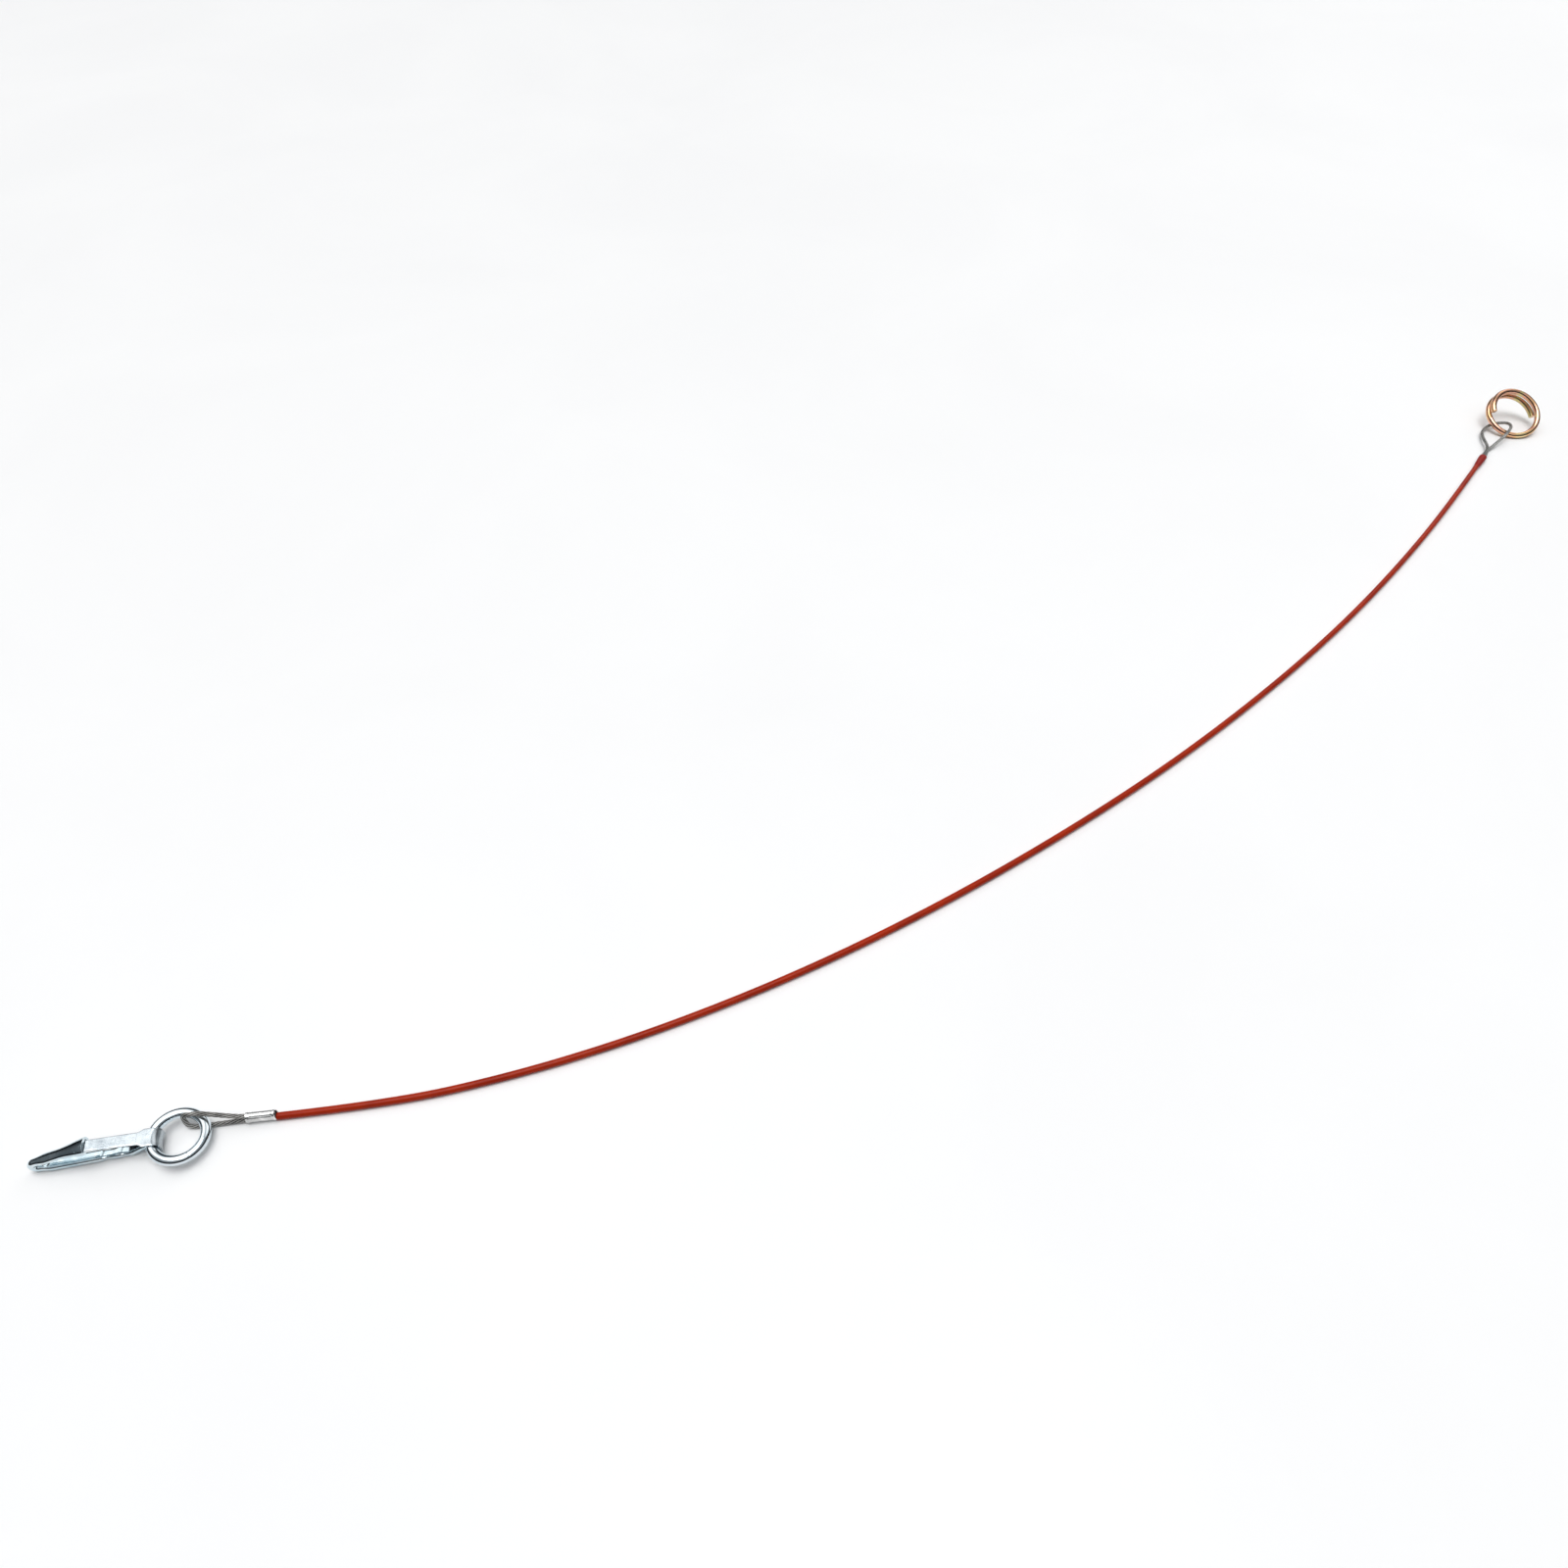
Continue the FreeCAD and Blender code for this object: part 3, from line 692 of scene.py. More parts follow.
@dataclass(frozen=True)
class Finishes:
    """Every finish of the lanyard."""

    forging: Material
    spring: Material
    ring: Material
    ferrule: Material
    rope: Material
    pale_rope: Material
    coating: Material
    collar: Material
    gold: Material
    floor: Material

    @staticmethod
    def build(kit: ShaderKit) -> "Finishes":
        """Builds every material once."""
        bare = (0.93, 0.95, 0.96, 1.0)
        recipes = {
            "forging": PlatedSteel(
                "zinc_forging", ((0.74, 0.82, 0.85, 1.0), (0.62, 0.73, 0.78, 1.0),
                                 (0.50, 0.63, 0.69, 1.0)),
                bare, gloss=(0.06, 0.16), cloud=110.0, relief=0.00003, wear=0.5),
            "spring": DrawnSteel("zinc_spring", (0.54, 0.59, 0.62, 1.0), (0.15, 0.18, 0.21, 1.0),
                                 gloss=(0.16, 0.36), across=120.0),
            "ring": PlatedSteel(
                "zinc_ring", ((0.80, 0.85, 0.88, 1.0), (0.66, 0.74, 0.79, 1.0)),
                bare, gloss=(0.04, 0.12), cloud=70.0, relief=0.00002, wear=0.2),
            "ferrule": DrawnSteel("ferrule", (0.90, 0.90, 0.89, 1.0), (0.20, 0.20, 0.20, 1.0),
                                  gloss=(0.12, 0.30), across=260.0),
            "rope": WireRope("bare_rope", (0.68, 0.67, 0.64, 1.0), (0.045, 0.042, 0.04, 1.0)),
            "pale_rope": WireRope("bare_rope_pale", (0.66, 0.66, 0.64, 1.0),
                                  (0.12, 0.12, 0.115, 1.0)),
            "coating": RedCoating("red_coating", (0.42, 0.028, 0.004, 1.0),
                                  (0.27, 0.014, 0.002, 1.0), gloss=(0.24, 0.36), ridges=6.0),
            "collar": RedCoating("red_collar", (0.36, 0.020, 0.011, 1.0),
                                 (0.21, 0.008, 0.007, 1.0), gloss=(0.3, 0.5), ridges=0.0),
            "gold": PlatedSteel(
                "gold_wire", ((0.86, 0.66, 0.36, 1.0), (0.80, 0.48, 0.24, 1.0),
                              (0.76, 0.40, 0.30, 1.0), (0.64, 0.56, 0.26, 1.0)),
                (0.97, 0.86, 0.62, 1.0), gloss=(0.10, 0.24), cloud=60.0, relief=0.00003, wear=0.4),
            "floor": PaleFloor(),
        }
        return Finishes(**{use: recipe.build(kit) for use, recipe in recipes.items()})


def settle(thing: Object, body: Body, nodes: list[str]) -> Object:
    """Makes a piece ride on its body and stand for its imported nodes.

    Args:
        thing: The finished piece.
        body: Body that carries it.
        nodes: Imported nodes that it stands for.

    Returns:
        The same piece.
    """
    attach(thing, body.value)
    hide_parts(*nodes)
    LOG.info("%s rides on %s, %d faces", thing.name, body.value, len(thing.data.polygons))
    return thing


def soften(thing: Object, width: float) -> None:
    """Rounds a piece's crisp edges over a width in metres."""
    bevel = thing.modifiers.new("soft edges", "BEVEL")
    bevel.width = width
    bevel.segments = EDGE_STEPS
    bevel.limit_method = "ANGLE"
    bevel.angle_limit = EDGE_ANGLE
    bevel.harden_normals = False


# ---- coated rope ----
@dataclass
class CoatedCable:
    """The long red rope between the ferrule and the collar."""

    route: Array = field(default_factory=lambda: MM * np.array([
        (75.0, 3.4, 2.0), (132.8, -1.4, 2.0), (192.5, 1.0, 2.0), (250.5, 8.0, 2.0),
        (308.0, 19.0, 2.0), (364.5, 33.0, 2.0), (420.5, 50.0, 2.0), (476.0, 69.5, 2.0),
        (530.5, 91.0, 2.0), (584.0, 114.0, 2.0), (637.0, 139.0, 2.0), (689.0, 166.0, 2.0),
        (740.0, 194.5, 2.0), (790.0, 224.5, 2.0), (839.0, 256.5, 2.0), (887.5, 290.5, 2.0),
        (934.5, 325.5, 2.0), (980.0, 361.5, 2.6), (1018.2, 392.9, 2.6)]))
    diameter: float = 0.004
    length: float = 1.0446
    step: float = 0.0012
    columns: int = 28

    def build(self, finishes: Finishes) -> tuple[Object, Array]:
        """Makes the sleeve.

        Returns:
            The piece and the points that it follows.
        """
        line = even_path(spline_line("cable_route", self.route), self.step)
        over = np.tile(LEVEL_UP, (len(line), 1))
        radius = np.full(len(line), self.diameter / 2)
        loft = Loft(line, over, radius, radius, 2.0, self.columns)
        thing = loft.skin().piece("coated_rope", finishes.coating)
        settle(thing, Body.HOOK, ["cable_sleeve", "cable_core"])
        return thing, line


@dataclass
class StrandedRope:
    """Bare rope of six strands laid round a core.

    Its outline at angle a is the outer edge of six circles of a third of the rope's radius,
    centred two thirds out: two thirds of the radius times the cosine of the angle from the
    nearest strand's middle, plus the root of a ninth less four ninths of its squared sine.
    """

    name: str
    nodes: list[str]
    route: Array
    over: Array
    radius: float = 0.00125
    pitch: float = 0.019
    step: float = 0.00028
    columns: int = 60
    crease: float = 80.0

    def build(self, material: Material) -> Object:
        """Makes the rope along its route."""
        line = even_path(spline_line(self.name, self.route), self.step)
        ones = np.ones(len(line))
        loft = Loft(line, np.tile(self.over, (len(line), 1)), ones, ones, 2.0, self.columns)
        along = distances(line)[:, None]
        angle = round_angles(self.columns)
        laid = TURN * along / self.pitch
        strand_turn = math.pi / 3
        strand = np.mod(angle + laid, strand_turn) - strand_turn / 2
        reach = np.sqrt(np.clip(1 / 9 - 4 / 9 * np.sin(strand) ** 2, 0.0, None))
        outline = self.radius * (2 / 3 * np.cos(strand) + reach)
        grid = carried(line, *loft.frames(), outline * np.cos(angle), outline * np.sin(angle))
        full = np.linspace(0.0, TURN, self.columns + 1)[None, :]
        uv = np.stack(np.broadcast_arrays(along / PATTERN, (full + laid) / strand_turn), axis=-1)
        thing = Skin(grid, uv).piece(self.name, material, self.crease)
        return settle(thing, Body.HOOK, self.nodes)


# ---- hook ----
@dataclass
class HookForging:
    """Forged bar: tongue, shank, gripped spine, hairpin bend, nose and hollow hood.

    Lengths are millimetres. The bar's middle line runs down the shank, along the spine, round
    the bend and up the nose. Its sections are powered ellipses, lowered on top by two finger
    grips and a punch mark, and opened underneath in the hood. The eye ring's wire lies in a
    saddle round wrap_x, wrap_z.
    """

    tongue_x: float = 17.9
    wrap_x: float = 15.864
    wrap_z: float = 8.349
    saddle_radius: float = 2.9
    bend_x: float = -39.1
    bend_radius: float = 3.0
    nose_angle: float = 16.0
    nose_length: float = 28.4
    hood_length: float = 12.4
    bar_half: Pair = (2.9, 1.9)
    hood_half: Pair = (4.5, 2.2)
    pocket_roof: float = 16.1
    pocket_half: float = 3.3
    pocket_back: float = -16.45
    pocket_wall: float = 0.75
    pocket_blend: float = 0.7
    spine_top: float = 3.8
    shank_span: Pair = (3.2, 12.6)
    shank_under: float = 3.75
    shank_over: float = 3.2
    shank_slim: float = 0.3
    tongue_span: Pair = (12.0, 17.5)
    tongue_thin: float = 0.6
    bend_slim: float = 0.8
    bend_slim_to: float = -33.0
    nose_slim_run: float = 7.0
    hood_lead: float = 3.0
    grips_at: tuple[Point, ...] = ((-10.2, 8.4, 1.0), (-1.0, 6.2, 0.8))
    grip_depth: float = 0.85
    grip_waist: float = 0.45
    punch_x: float = -36.2
    punch_half: Pair = (1.7, 1.5)
    punch_depth: float = 0.6
    tongue_round: float = 0.5
    spine_rows: int = 236
    bend_rows: int = 61
    nose_rows: int = 150
    columns: int = 96
    edge: float = 0.00016

    def spine(self) -> tuple[Array, Array, Array, Array]:
        """Middle points, over directions, half widths and half heights from tongue to bend."""
        x = np.linspace(self.tongue_x, self.bend_x, self.spine_rows)
        rise = smooth_step(x, *self.shank_span)
        low = self.shank_under * rise
        high = (self.spine_top + self.shank_over * rise
                - self.tongue_thin * smooth_step(x, *self.tongue_span))
        near = np.clip(self.saddle_radius ** 2 - (x - self.wrap_x) ** 2, 0.0, None)
        saddle = np.where(near > 0, self.wrap_z - np.sqrt(near), np.inf)
        high = np.minimum(high, saddle)
        middle = np.stack([x, np.zeros_like(x), (low + high) / 2], axis=1)
        over = np.tile(LEVEL_UP, (len(x), 1))
        slim = self.bend_slim * (1 - smooth_step(x, self.bend_x, self.bend_slim_to))
        wide = self.bar_half[0] - self.shank_slim * rise - slim - self.grip_waist * self.grips(x)
        return middle, over, wide, (high - low) / 2

    def grips(self, x: Array) -> Array:
        """Depth shares of the finger grips, each from its place, length and depth.

        The powers give each grip a steep start and a slow way out.
        """
        deep = np.zeros_like(x)
        for start, length, depth in self.grips_at:
            share = np.clip((x - start) / length, 0.0, 1.0)
            deep = deep + depth * np.sin(math.pi * share ** 0.62) ** 1.3
        return deep

    def nose(self) -> tuple[Array, Array, Array, Array]:
        """The same four from the bend to the hood's mouth."""
        centre = np.array([self.bend_x, 0.0, self.bar_half[1] + self.bend_radius])
        turn = np.radians(np.linspace(270.0, 90.0 + self.nose_angle, self.bend_rows))[1:]
        outward = np.stack([np.cos(turn), np.zeros_like(turn), np.sin(turn)], axis=1)
        bend = centre + self.bend_radius * outward
        angle = math.radians(self.nose_angle)
        along = np.array([math.cos(angle), 0.0, math.sin(angle)])
        steps = np.linspace(0.0, self.nose_length, self.nose_rows)[1:]
        rise = bend[-1] + steps[:, None] * along
        middle = np.concatenate([bend, rise])
        over = np.concatenate([-outward, np.tile(-outward[-1], (len(steps), 1))])
        flare_from = self.nose_length - self.hood_length - self.hood_lead
        flare = smooth_step(steps, flare_from, self.nose_length)
        tip = self.bend_slim * (1 - smooth_step(steps, 0.0, self.nose_slim_run))
        wide, tall = (np.concatenate([np.full(len(turn), bar - slim),
                                      bar - drop + flare * (hood - bar)])
                      for bar, hood, slim, drop in zip(self.bar_half, self.hood_half,
                                                       (self.bend_slim, 0.0), (tip, 0.0)))
        return middle, over, wide, tall

    def open_hood(self, middle: Array, across: Array, upward: Array, wide: Array,
                  tall: Array) -> tuple[Array, Array]:
        """Turns the spine side of each hood section into an open channel.

        With b running 0 to 1 round that side, the channel goes down the outer wall, over the
        rim, up the inner wall, across the roof and back. It is mixed in behind the pocket's
        back wall.
        """
        b = (np.arange(self.columns) / self.columns * 2.0)[None, :]
        inside = b <= 1.0
        knots = np.array([0.0, 0.09, 0.15, 0.34, 0.66, 0.85, 0.91, 1.0])
        b_line = np.clip(b, 0.0, 1.0)
        outer = np.interp(b_line, knots, [1, 0.96, 0, 0, 0, 0, -0.96, -1])
        inner = np.interp(b_line, knots, [0, 0, 1, 0.97, -0.97, -1, 0, 0])
        rim = np.interp(b_line, knots, [0, 0.80, 0.86, 0, 0, 0.86, 0.80, 0])
        roof = np.interp(b_line, knots, [0, 0, 0, 1, 1, 0, 0, 0])
        slope = math.cos(math.radians(self.nose_angle))
        level = -(self.pocket_roof - middle[:, 2]) / slope
        pocket = np.minimum(self.pocket_half, wide - self.pocket_wall)
        channel_y = outer * wide[:, None] + inner * pocket[:, None]
        channel_o = rim * tall[:, None] + roof * level[:, None]
        back = self.pocket_back
        share = smooth_step(middle[:, 0], back - self.pocket_blend, back)[:, None] * inside
        return across + share * (channel_y - across), upward + share * (channel_o - upward)

    def skin(self) -> Skin:
        """The whole forging's surface, in metres."""
        parts = [self.spine(), self.nose()]
        middle, over, wide, tall = (np.concatenate(rows) for rows in zip(*parts))
        first = len(parts[0][0])
        count = np.arange(len(middle))
        power = 3.0 - 0.9 * smooth_step(count, first - 40, first + 30)
        wide = np.where(count < first, rounded_ends(middle, wide, self.tongue_round), wide)
        loft = Loft(middle, over, wide, tall, power, self.columns)
        across, upward = loft.offsets()
        on_spine = (count < first)[:, None]
        grip = self.grips(middle[:, 0])[:, None] * on_spine
        punch = np.exp(-((middle[:, :1] - self.punch_x) / self.punch_half[0]) ** 2
                       - (across / self.punch_half[1]) ** 2) * on_spine
        top = np.clip(upward / tall[:, None], 0.0, 1.0)
        upward = upward - top * (self.grip_depth * grip + self.punch_depth * punch)
        open_y, open_o = self.open_hood(middle, across, upward, wide, tall)
        across = np.where(on_spine, across, open_y)
        upward = np.where(on_spine, upward, open_o)
        grid = carried(middle, np.array([0.0, -1.0, 0.0]), over, across, upward)
        return Skin(grid * MM, loft.coordinates() * MM)

    def build(self, finishes: Finishes) -> Object:
        """Makes the forging."""
        thing = self.skin().piece("hook_forging", finishes.forging)
        soften(thing, self.edge)
        return settle(thing, Body.HOOK, ["hook_body"])


@dataclass
class SpringLeaf:
    """Spring strip in two pieces: the bending leaf, and its end that holds the ring."""

    slope: float = 6.5
    root: Point = (10.287, 0.0, 12.406)
    tip_x: float = -16.07
    clasp_start: Point = (10.486, 0.0, 12.384)
    clasp_top: Point = (16.249, 0.0, 11.727)
    clasp_radius: float = 3.4
    fold_radius: float = 1.9
    fall_x: float = 19.264
    lip_z: float = 2.949
    lip_length: float = 5.0
    ring_radius: float = 12.8
    root_half: float = 3.3
    leaf_taper: float = 0.4
    corner_cut: float = 1.1
    corner_run: float = 1.5
    leaf_half: float = 0.4
    clasp_half: float = 0.5
    clasp_flare: float = 1.4
    flare_span: Pair = (0.2, 3.2)
    lip_cut: float = 0.7
    lip_run: float = 1.2
    follow_span: Pair = (3.0, 7.0)
    knee_slack: float = 0.6
    square: float = 9.0

    def leaf(self, finishes: Finishes) -> Object:
        """The bending leaf: a flat strip with cut corners at its tip."""
        length = (self.root[0] - self.tip_x) / math.cos(math.radians(self.slope))
        angle = math.radians(self.slope)
        steps = np.linspace(0.0, length, 140)
        along = np.array([-math.cos(angle), 0.0, math.sin(angle)])
        line = np.array(self.root) + steps[:, None] * along
        wide = self.root_half - self.leaf_taper * steps / length
        wide = wide - self.corner_cut * smooth_step(steps, length - self.corner_run, length)
        over = np.tile(LEVEL_UP, (len(steps), 1))
        loft = Loft(line * MM, over, wide * MM, self.leaf_half * MM, self.square, 40)
        thing = loft.skin().piece("gate_strip", finishes.spring)
        soften(thing, 0.00012)
        return settle(thing, Body.LEAF, ["gate_leaf"])

    def clasp(self, finishes: Finishes) -> Object:
        """The wide end: over the ring's wire, down into it and back under the shank.

        Past the start, each point is moved along X by its squared sideways distance over twice
        the ring's radius, so that the fold follows the ring.
        """
        start, top = np.array(self.clasp_start), np.array(self.clasp_top)
        down = unit(top - start)
        knee = (self.clasp_radius + self.knee_slack) * math.tan(math.radians((90 - self.slope) / 2))
        points = np.array([start, top + down * knee, (self.fall_x, 0.0, self.lip_z),
                           (self.fall_x - self.fold_radius - self.lip_length, 0.0, self.lip_z)])
        line = filleted(points, [self.clasp_radius, self.fold_radius], 0.14)
        along = distances(line)
        wide = self.root_half + self.clasp_flare * smooth_step(along, *self.flare_span)
        wide = wide - self.lip_cut * smooth_step(along, along[-1] - self.lip_run, along[-1])
        ahead = tangents(line)
        over = np.cross(ahead, np.array([0.0, 1.0, 0.0]))
        skin = Loft(line, over, wide, self.clasp_half, self.square, 48).skin()
        fade = smooth_step(along, along[-1] - self.lip_length, along[-1])
        follow = smooth_step(along, *self.follow_span) * (1 - fade)
        skin.grid[..., 0] += follow[:, None] * skin.grid[..., 1] ** 2 / (2 * self.ring_radius)
        thing = Skin(skin.grid * MM, skin.uv * MM).piece("strip_clasp", finishes.spring)
        soften(thing, 0.00015)
        return settle(thing, Body.HOOK, ["leaf_clasp"])


@dataclass
class EyeRing:
    """Round-bar ring held in the clasp: a bar circle carried round a leaning circle."""

    centre: Point = (28.582, 0.0, 6.9)
    radius: float = 12.8
    bar: float = 2.7
    lean: float = 6.5
    weld_at: float = -62.0
    weld_depth: float = 0.10
    weld_half: float = 1.1
    rows: int = 256
    columns: int = 56

    def build(self, finishes: Finishes) -> Object:
        """Makes the ring, with a faint neck where its ends are welded."""
        turn = round_angles(self.rows).T
        angle = round_angles(self.columns)
        gap = np.degrees(np.angle(np.exp(1j * (turn - math.radians(self.weld_at)))))
        bar = self.bar - self.weld_depth * np.exp(-(gap / self.weld_half) ** 2)
        reach = self.radius + bar * np.cos(angle)
        flat = np.stack([reach * np.cos(turn), reach * np.sin(turn),
                         bar * np.sin(angle) + 0.0 * turn], axis=-1)
        tilt = math.radians(self.lean)
        spin = np.array([[math.cos(tilt), 0.0, math.sin(tilt)], [0.0, 1.0, 0.0],
                         [-math.sin(tilt), 0.0, math.cos(tilt)]])
        grid = (flat[:, ::-1] @ spin.T + np.array(self.centre)) * MM
        along = np.linspace(0.0, 8.0, self.rows + 1)[:, None]
        thing = Skin(grid, pattern(along, self.columns), True).piece("eye_ring_bar", finishes.ring)
        return settle(thing, Body.RING, ["eye_ring"])


# ---- fittings on the rope ----
@dataclass
class Mouthed:
    """A fitting with a hollow mouth at one or both ends.

    Its rows start inside the first mouth, come out to the rim, run along the outside and turn
    into the last mouth.

    Attributes:
        shares: Places along the fitting, 0 at its start and 1 at its end.
        wide: Half widths there.
        tall: Half heights there.
    """

    start: Array
    finish: Array
    shares: Array
    wide: Array
    tall: Array
    power: float

    def loft(self, over: Array, columns: int) -> Skin:
        """The fitting's surface, with each section moved along its axis."""
        axis = unit(self.finish - self.start)
        side = np.cross(over, axis)
        across, upward = powered(round_angles(columns), self.power)
        middle = self.start + (self.finish - self.start) * self.shares[:, None]
        grid = carried(middle, side, over, across * self.wide[:, None],
                       upward * self.tall[:, None])
        along = np.cumsum(np.abs(np.gradient(self.shares)))[:, None]
        return Skin(grid, pattern(along, columns))


def mouth_profile(count: int, depth: float, wall: float) -> tuple[Array, Array]:
    """Shares and wall insets from inside one mouth, along the outside, into the other.

    Args:
        count: Rows along the outside.
        depth: Depth of each mouth as a share of the length.
        wall: Wall thickness at the rim.

    Returns:
        Shares along the fitting and how far each row lies inside the outer size.
    """
    body = np.linspace(0.0, 1.0, count)
    edge = 0.02
    shares = np.concatenate([[depth, depth * 0.5, edge * 0.5, 0.0], edge + body * (1 - 2 * edge),
                             [1.0, 1.0 - edge * 0.5, 1 - depth * 0.5, 1 - depth]])
    inset = np.concatenate([[wall, wall, wall, wall * 0.55], np.zeros(count),
                            [wall * 0.55, wall, wall, wall]])
    return shares, inset


@dataclass
class PressedFerrule:
    """Oval ferrule pressed over both legs of the near eye, with grooves along it."""

    start: Point = (60.05, 4.95, 3.5)
    finish: Point = (75.0, 3.71, 3.5)
    half: Pair = (2.5, 3.5)
    wall: float = 0.55
    lowered: float = 0.10
    waist: Pair = (0.22, 0.2)
    groove: float = 0.10
    rows: int = 60
    columns: int = 96

    def build(self, finishes: Finishes) -> Object:
        """Makes the ferrule: a full rim at each end and a pressed waist with four grooves."""
        start, finish = np.array(self.start), np.array(self.finish)
        shares, inset = mouth_profile(self.rows, 0.09, self.wall)
        pressed = smooth_step(shares, 0.07, 0.16) * (1 - smooth_step(shares, 0.84, 0.93))
        wide = self.half[0] - self.waist[0] * pressed - inset
        tall = self.half[1] - self.lowered - self.waist[1] * pressed - inset
        skin = Mouthed(start, finish, shares, wide, tall, 2.35).loft(LEVEL_UP, self.columns)
        groove = np.clip(np.cos(4 * round_angles(self.columns) + math.pi), 0.0, 1.0) ** 6
        middle = (start + (finish - start) * shares[:, None])[:, None]
        sunk = 1 - self.groove * pressed[:, None] * groove
        skin.grid = middle + (skin.grid - middle) * sunk[..., None]
        thing = Skin(skin.grid * MM, skin.uv).piece("pressed_ferrule", finishes.ferrule)
        return settle(thing, Body.HOOK, ["near_ferrule"])


@dataclass
class FarCollar:
    """Moulded red end of the coating, and the bright crimp in its mouth."""

    finish: Point = (1018.2, 392.9, 2.6)
    outward: Point = (0.77252, 0.63499, 0.0)
    overlap: float = 6.0
    beyond: float = 12.0
    slim: float = 2.42
    full: Pair = (3.0, 2.5)
    wall: float = 0.55
    lead: float = 0.36
    crimp_from: float = 1.9
    crimp_past: float = 1.2
    crimp_half: Pair = (2.75, 1.65)
    crimp_wall: float = 0.3

    def along(self, distance: float) -> Array:
        """A point on the collar's axis, a distance past the coating's end."""
        return np.array(self.finish) + np.array(self.outward) * distance

    def collar(self, finishes: Finishes) -> Object:
        """Round on the rope, then flared to an oval with a hollow face."""
        shares, inset = mouth_profile(70, 0.1, self.wall)
        flare = smooth_step(shares, 0.1, 0.9)
        first = np.arange(len(shares)) < 4
        inset = np.where(first, inset * 0.2, inset)
        taper = self.lead * (1 - smooth_step(shares, 0.0, 0.25))
        wide, tall = (self.slim + (full - self.slim) * flare - inset - taper for full in self.full)
        start, end = self.along(-self.overlap), self.along(self.beyond)
        skin = Mouthed(start, end, shares, wide, tall, 2.15).loft(LEVEL_UP, 56)
        grain = np.array([self.overlap + self.beyond, 1.0])
        thing = Skin(skin.grid * MM, skin.uv * grain).piece("red_collar_end", finishes.collar)
        return settle(thing, Body.HOOK, ["far_collar"])

    def crimp(self, finishes: Finishes) -> Object:
        """Bright crimp whose end shows in the collar's face."""
        shares, inset = mouth_profile(20, 0.05, self.crimp_wall)
        wide, tall = (half - inset for half in self.crimp_half)
        start, end = self.along(self.crimp_from), self.along(self.beyond + self.crimp_past)
        skin = Mouthed(start, end, shares, wide, tall, 2.4).loft(LEVEL_UP, 48)
        thing = Skin(skin.grid * MM, skin.uv).piece("far_crimp_shell", finishes.ferrule)
        return settle(thing, Body.HOOK, ["far_crimp"])


@dataclass
class BurstRing:
    """Round wire coiled one and a half turns.

    The wire's middle goes round a circle while it sinks evenly, and the whole coil leans so
    that its axis is the given normal.
    """

    centre: Point = (1078.4, 439.2, 15.8)
    normal: Point = (-0.04, -0.44, 0.90)
    radius: float = 20.3
    wire: float = 2.25
    pitch: float = 6.8
    turns: float = 1.5
    start: float = 172.0
    end_round: float = 0.5
    rows: int = 520

    def line(self) -> Array:
        """Middle of the wire, in millimetres."""
        turn = np.linspace(0.0, self.turns, self.rows)
        angle = np.radians(self.start) - TURN * turn
        flat = np.stack([self.radius * np.cos(angle), self.radius * np.sin(angle),
                         -self.pitch * turn], axis=1)
        normal = unit(np.array(self.normal))
        hinge = np.cross(LEVEL_UP, normal)
        sine, cosine = np.linalg.norm(hinge), normal[2]
        hinge = hinge / sine
        turned = (flat * cosine + np.cross(hinge, flat) * sine
                  + hinge * (flat @ hinge)[:, None] * (1 - cosine))
        return turned + np.array(self.centre)

    def build(self, finishes: Finishes) -> Object:
        """Makes the coil with softly rounded wire ends."""
        line = self.line()
        size = rounded_ends(line, np.full(len(line), self.wire), self.end_round)
        over = np.tile(unit(np.array(self.normal)), (len(line), 1))
        loft = Loft(line * MM, over, size * MM, size * MM, 2.0, 40)
        thing = loft.skin().piece("split_ring_wire", finishes.gold)
        return settle(thing, Body.COIL, ["burst_ring"])


# ---- studio ----
@dataclass(frozen=True)
class Patch:
    """A soft round patch of light on the dome, its places in degrees.

    Attributes:
        azimuth: Where it is, from +X towards +Y.
        height: Its middle above the floor.
        inner: Half width of its even part.
        outer: Half width to where it ends.
        tone: Its brightness.
    """

    azimuth: float
    height: float
    inner: float
    outer: float
    tone: float

    def ahead(self) -> Point:
        """Unit direction of its middle."""
        turn, rise = math.radians(self.azimuth), math.radians(self.height)
        return (math.cos(rise) * math.cos(turn), math.cos(rise) * math.sin(turn), math.sin(rise))


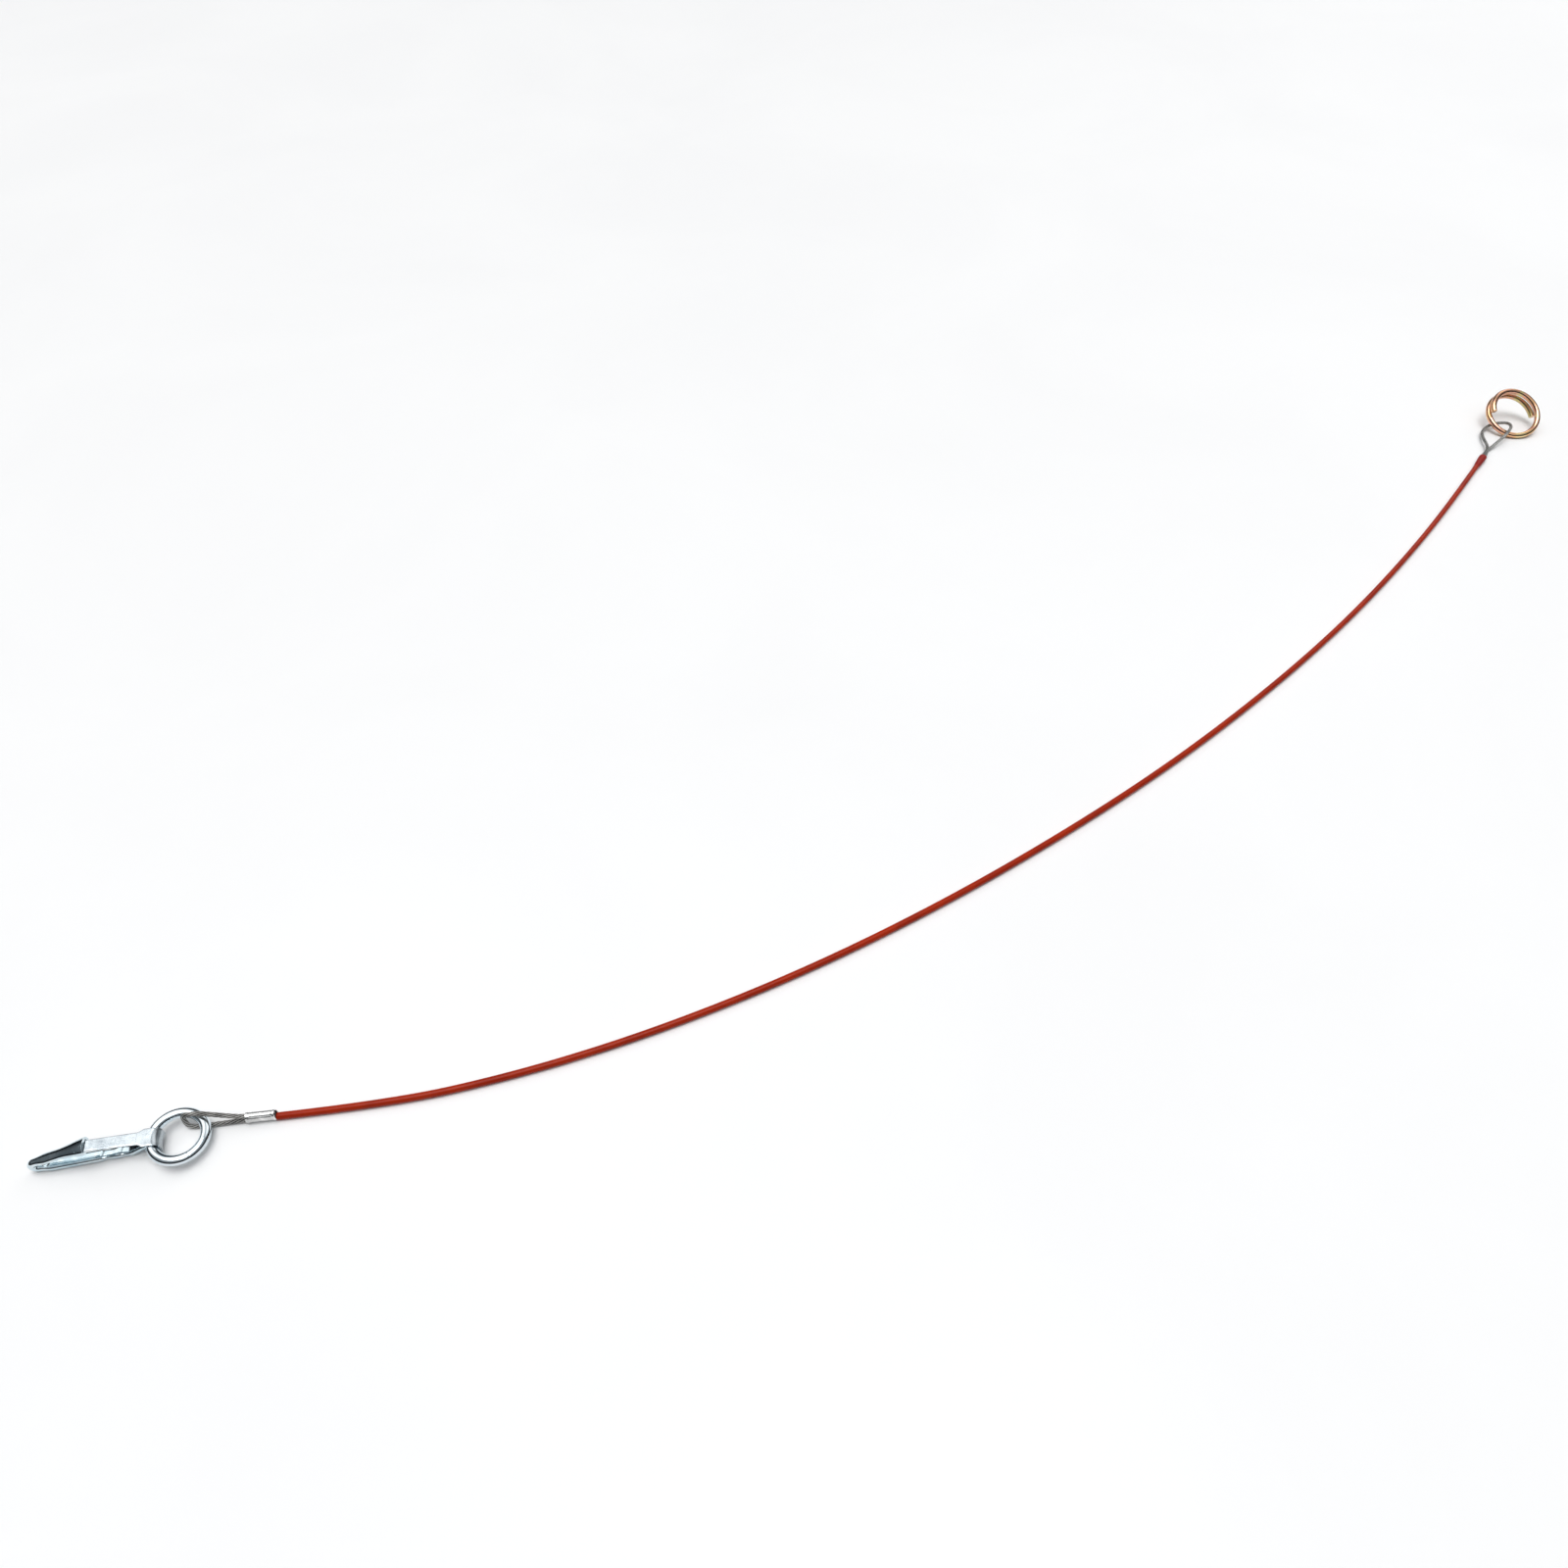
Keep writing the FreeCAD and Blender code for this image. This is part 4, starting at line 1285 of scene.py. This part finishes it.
@dataclass
class Studio:
    """Camera, pale floor and soft light."""

    camera_at: Point = (0.2802, -0.2960, 0.5686)
    camera_turn: Point = (40.0, 0.0, -11.8)
    lens: float = 26.43
    floor_half: float = 6.0
    dome: tuple[tuple[float, Colour], ...] = (
        (0.0, (0.004, 0.005, 0.006, 1.0)), (0.30, (0.010, 0.012, 0.015, 1.0)),
        (0.60, (0.16, 0.17, 0.18, 1.0)), (1.0, (0.76, 0.77, 0.78, 1.0)))
    patches: tuple[Patch, ...] = (
        Patch(136.0, 54.0, 18.0, 29.0, 1.40), Patch(45.0, 34.0, 16.0, 26.0, 1.35),
        Patch(-70.0, 58.0, 10.0, 17.0, 1.0))

    def camera(self) -> None:
        """Places the camera."""
        data = bpy.data.cameras.new("camera")
        data.sensor_width = 36.0
        data.lens = self.lens
        data.clip_start = 0.01
        holder = bpy.data.objects.new("camera", data)
        holder.location = self.camera_at
        holder.rotation_euler = tuple(math.radians(angle) for angle in self.camera_turn)
        bpy.context.scene.collection.objects.link(holder)
        bpy.context.scene.camera = holder

    def floor(self, finishes: Finishes) -> None:
        """Lays the floor at height 0."""
        half = self.floor_half
        corners = [(-half, -half, 0), (half, -half, 0), (half, half, 0), (-half, half, 0)]
        mesh = bpy.data.meshes.new("floor")
        mesh.from_pydata(corners, [], [(0, 1, 2, 3)])
        mesh.materials.append(finishes.floor)
        sheet = bpy.data.objects.new("floor", mesh)
        bpy.context.scene.collection.objects.link(sheet)

    def world(self) -> None:
        """A dim dome with broad soft patches of light, so that metal shows its form."""
        world = bpy.data.worlds.new("dome")
        world.use_nodes = True
        wires = Wiring(world.node_tree)
        place = wires.node("TexCoord").outputs["Generated"]
        height = wires.node("SeparateXYZ", {"Vector": place}).outputs["Z"]
        colour = wires.ramp(height, self.dome)
        for patch in self.patches:
            near = wires.node("VectorMath", {0: place, 1: patch.ahead()}, operation="DOT_PRODUCT")
            share = wires.spread(near.outputs["Value"], math.cos(math.radians(patch.outer)),
                                 math.cos(math.radians(patch.inner)), 0.0, 1.0)
            colour = wires.blend(share, colour, (patch.tone, patch.tone, patch.tone, 1.0))
        back = wires.node("Background", {"Color": colour, "Strength": 1.0})
        wires.node("OutputWorld", {"Surface": back.outputs[0]})
        bpy.context.scene.world = world

    def light(self, name: str, azimuth: float, height: float, spread: float, power: float) -> None:
        """Adds one far soft light that falls evenly over the floor.

        Args:
            name: Light name.
            azimuth: Direction that it comes from, degrees from +X towards +Y.
            height: Its height above the floor, degrees.
            spread: Width of its disc, degrees.
            power: Strength.
        """
        data = bpy.data.lights.new(name, "SUN")
        data.angle = math.radians(spread)
        data.energy = power
        lamp = bpy.data.objects.new(name, data)
        lamp.rotation_euler = (math.radians(90.0 - height), 0.0, math.radians(azimuth + 90.0))
        bpy.context.scene.collection.objects.link(lamp)

    def build(self, finishes: Finishes) -> None:
        """Sets the whole studio."""
        self.camera()
        self.floor(finishes)
        self.world()
        self.light("key", azimuth=130.0, height=88.0, spread=40.0, power=1.55)
        bpy.context.scene.view_settings.view_transform = "Standard"


NEAR_EYE_ROUTE = MM * np.array([
    (75.0, 3.4, 2.0), (67.0, 4.06, 2.0), (59.0, 4.73, 2.0), (47.0, 5.5, 1.6), (37.0, 6.2, 1.4),
    (31.2, 7.2, 1.5), (30.2, 8.0, 4.0), (30.2, 9.0, 8.6), (31.4, 9.2, 11.2), (38.0, 8.5, 11.2),
    (46.0, 7.2, 8.8), (55.0, 5.8, 5.6), (61.0, 5.1, 4.6), (68.0, 4.5, 4.58), (74.4, 4.0, 4.58)])

NEAR_EYE_OVER = unit(np.array([0.08, 0.98, 0.15]))

FAR_EYE_ROUTE = MM * np.array([
    (1020.506, 393.087, 2.6), (1030.317, 401.151, 2.6), (1038.8, 411.6, 4.2),
    (1042.0, 424.0, 3.8), (1048.0, 434.5, 3.0), (1057.5, 440.5, 3.2), (1066.0, 440.8, 5.0),
    (1072.0, 435.8, 7.4), (1070.2, 428.6, 8.6), (1063.5, 422.8, 8.2), (1056.0, 418.2, 6.4),
    (1047.5, 414.4, 3.4), (1039.0, 410.4, 1.4), (1028.641, 403.191, 2.6),
    (1018.830, 395.126, 2.6)])


def main() -> None:
    """Builds the studio and every piece, in order."""
    logging.basicConfig(level=logging.INFO, format="%(message)s")
    finishes = Finishes.build(ShaderKit.build())
    Studio().build(finishes)
    cable = CoatedCable()
    sleeve, line = cable.build(finishes)
    StrandedRope("near_eye_rope", ["near_eye"], NEAR_EYE_ROUTE, NEAR_EYE_OVER).build(finishes.rope)
    far_rope = StrandedRope("far_eye_rope", ["far_eye"], FAR_EYE_ROUTE, LEVEL_UP).build(
        finishes.pale_rope)
    collar = FarCollar()
    red_end = collar.collar(finishes)
    crimp = collar.crimp(finishes)
    BurstRing().build(finishes)
    HookForging().build(finishes)
    leaf = SpringLeaf()
    leaf.leaf(finishes)
    leaf.clasp(finishes)
    EyeRing().build(finishes)
    PressedFerrule().build(finishes)


if __name__ == "__main__":
    main()
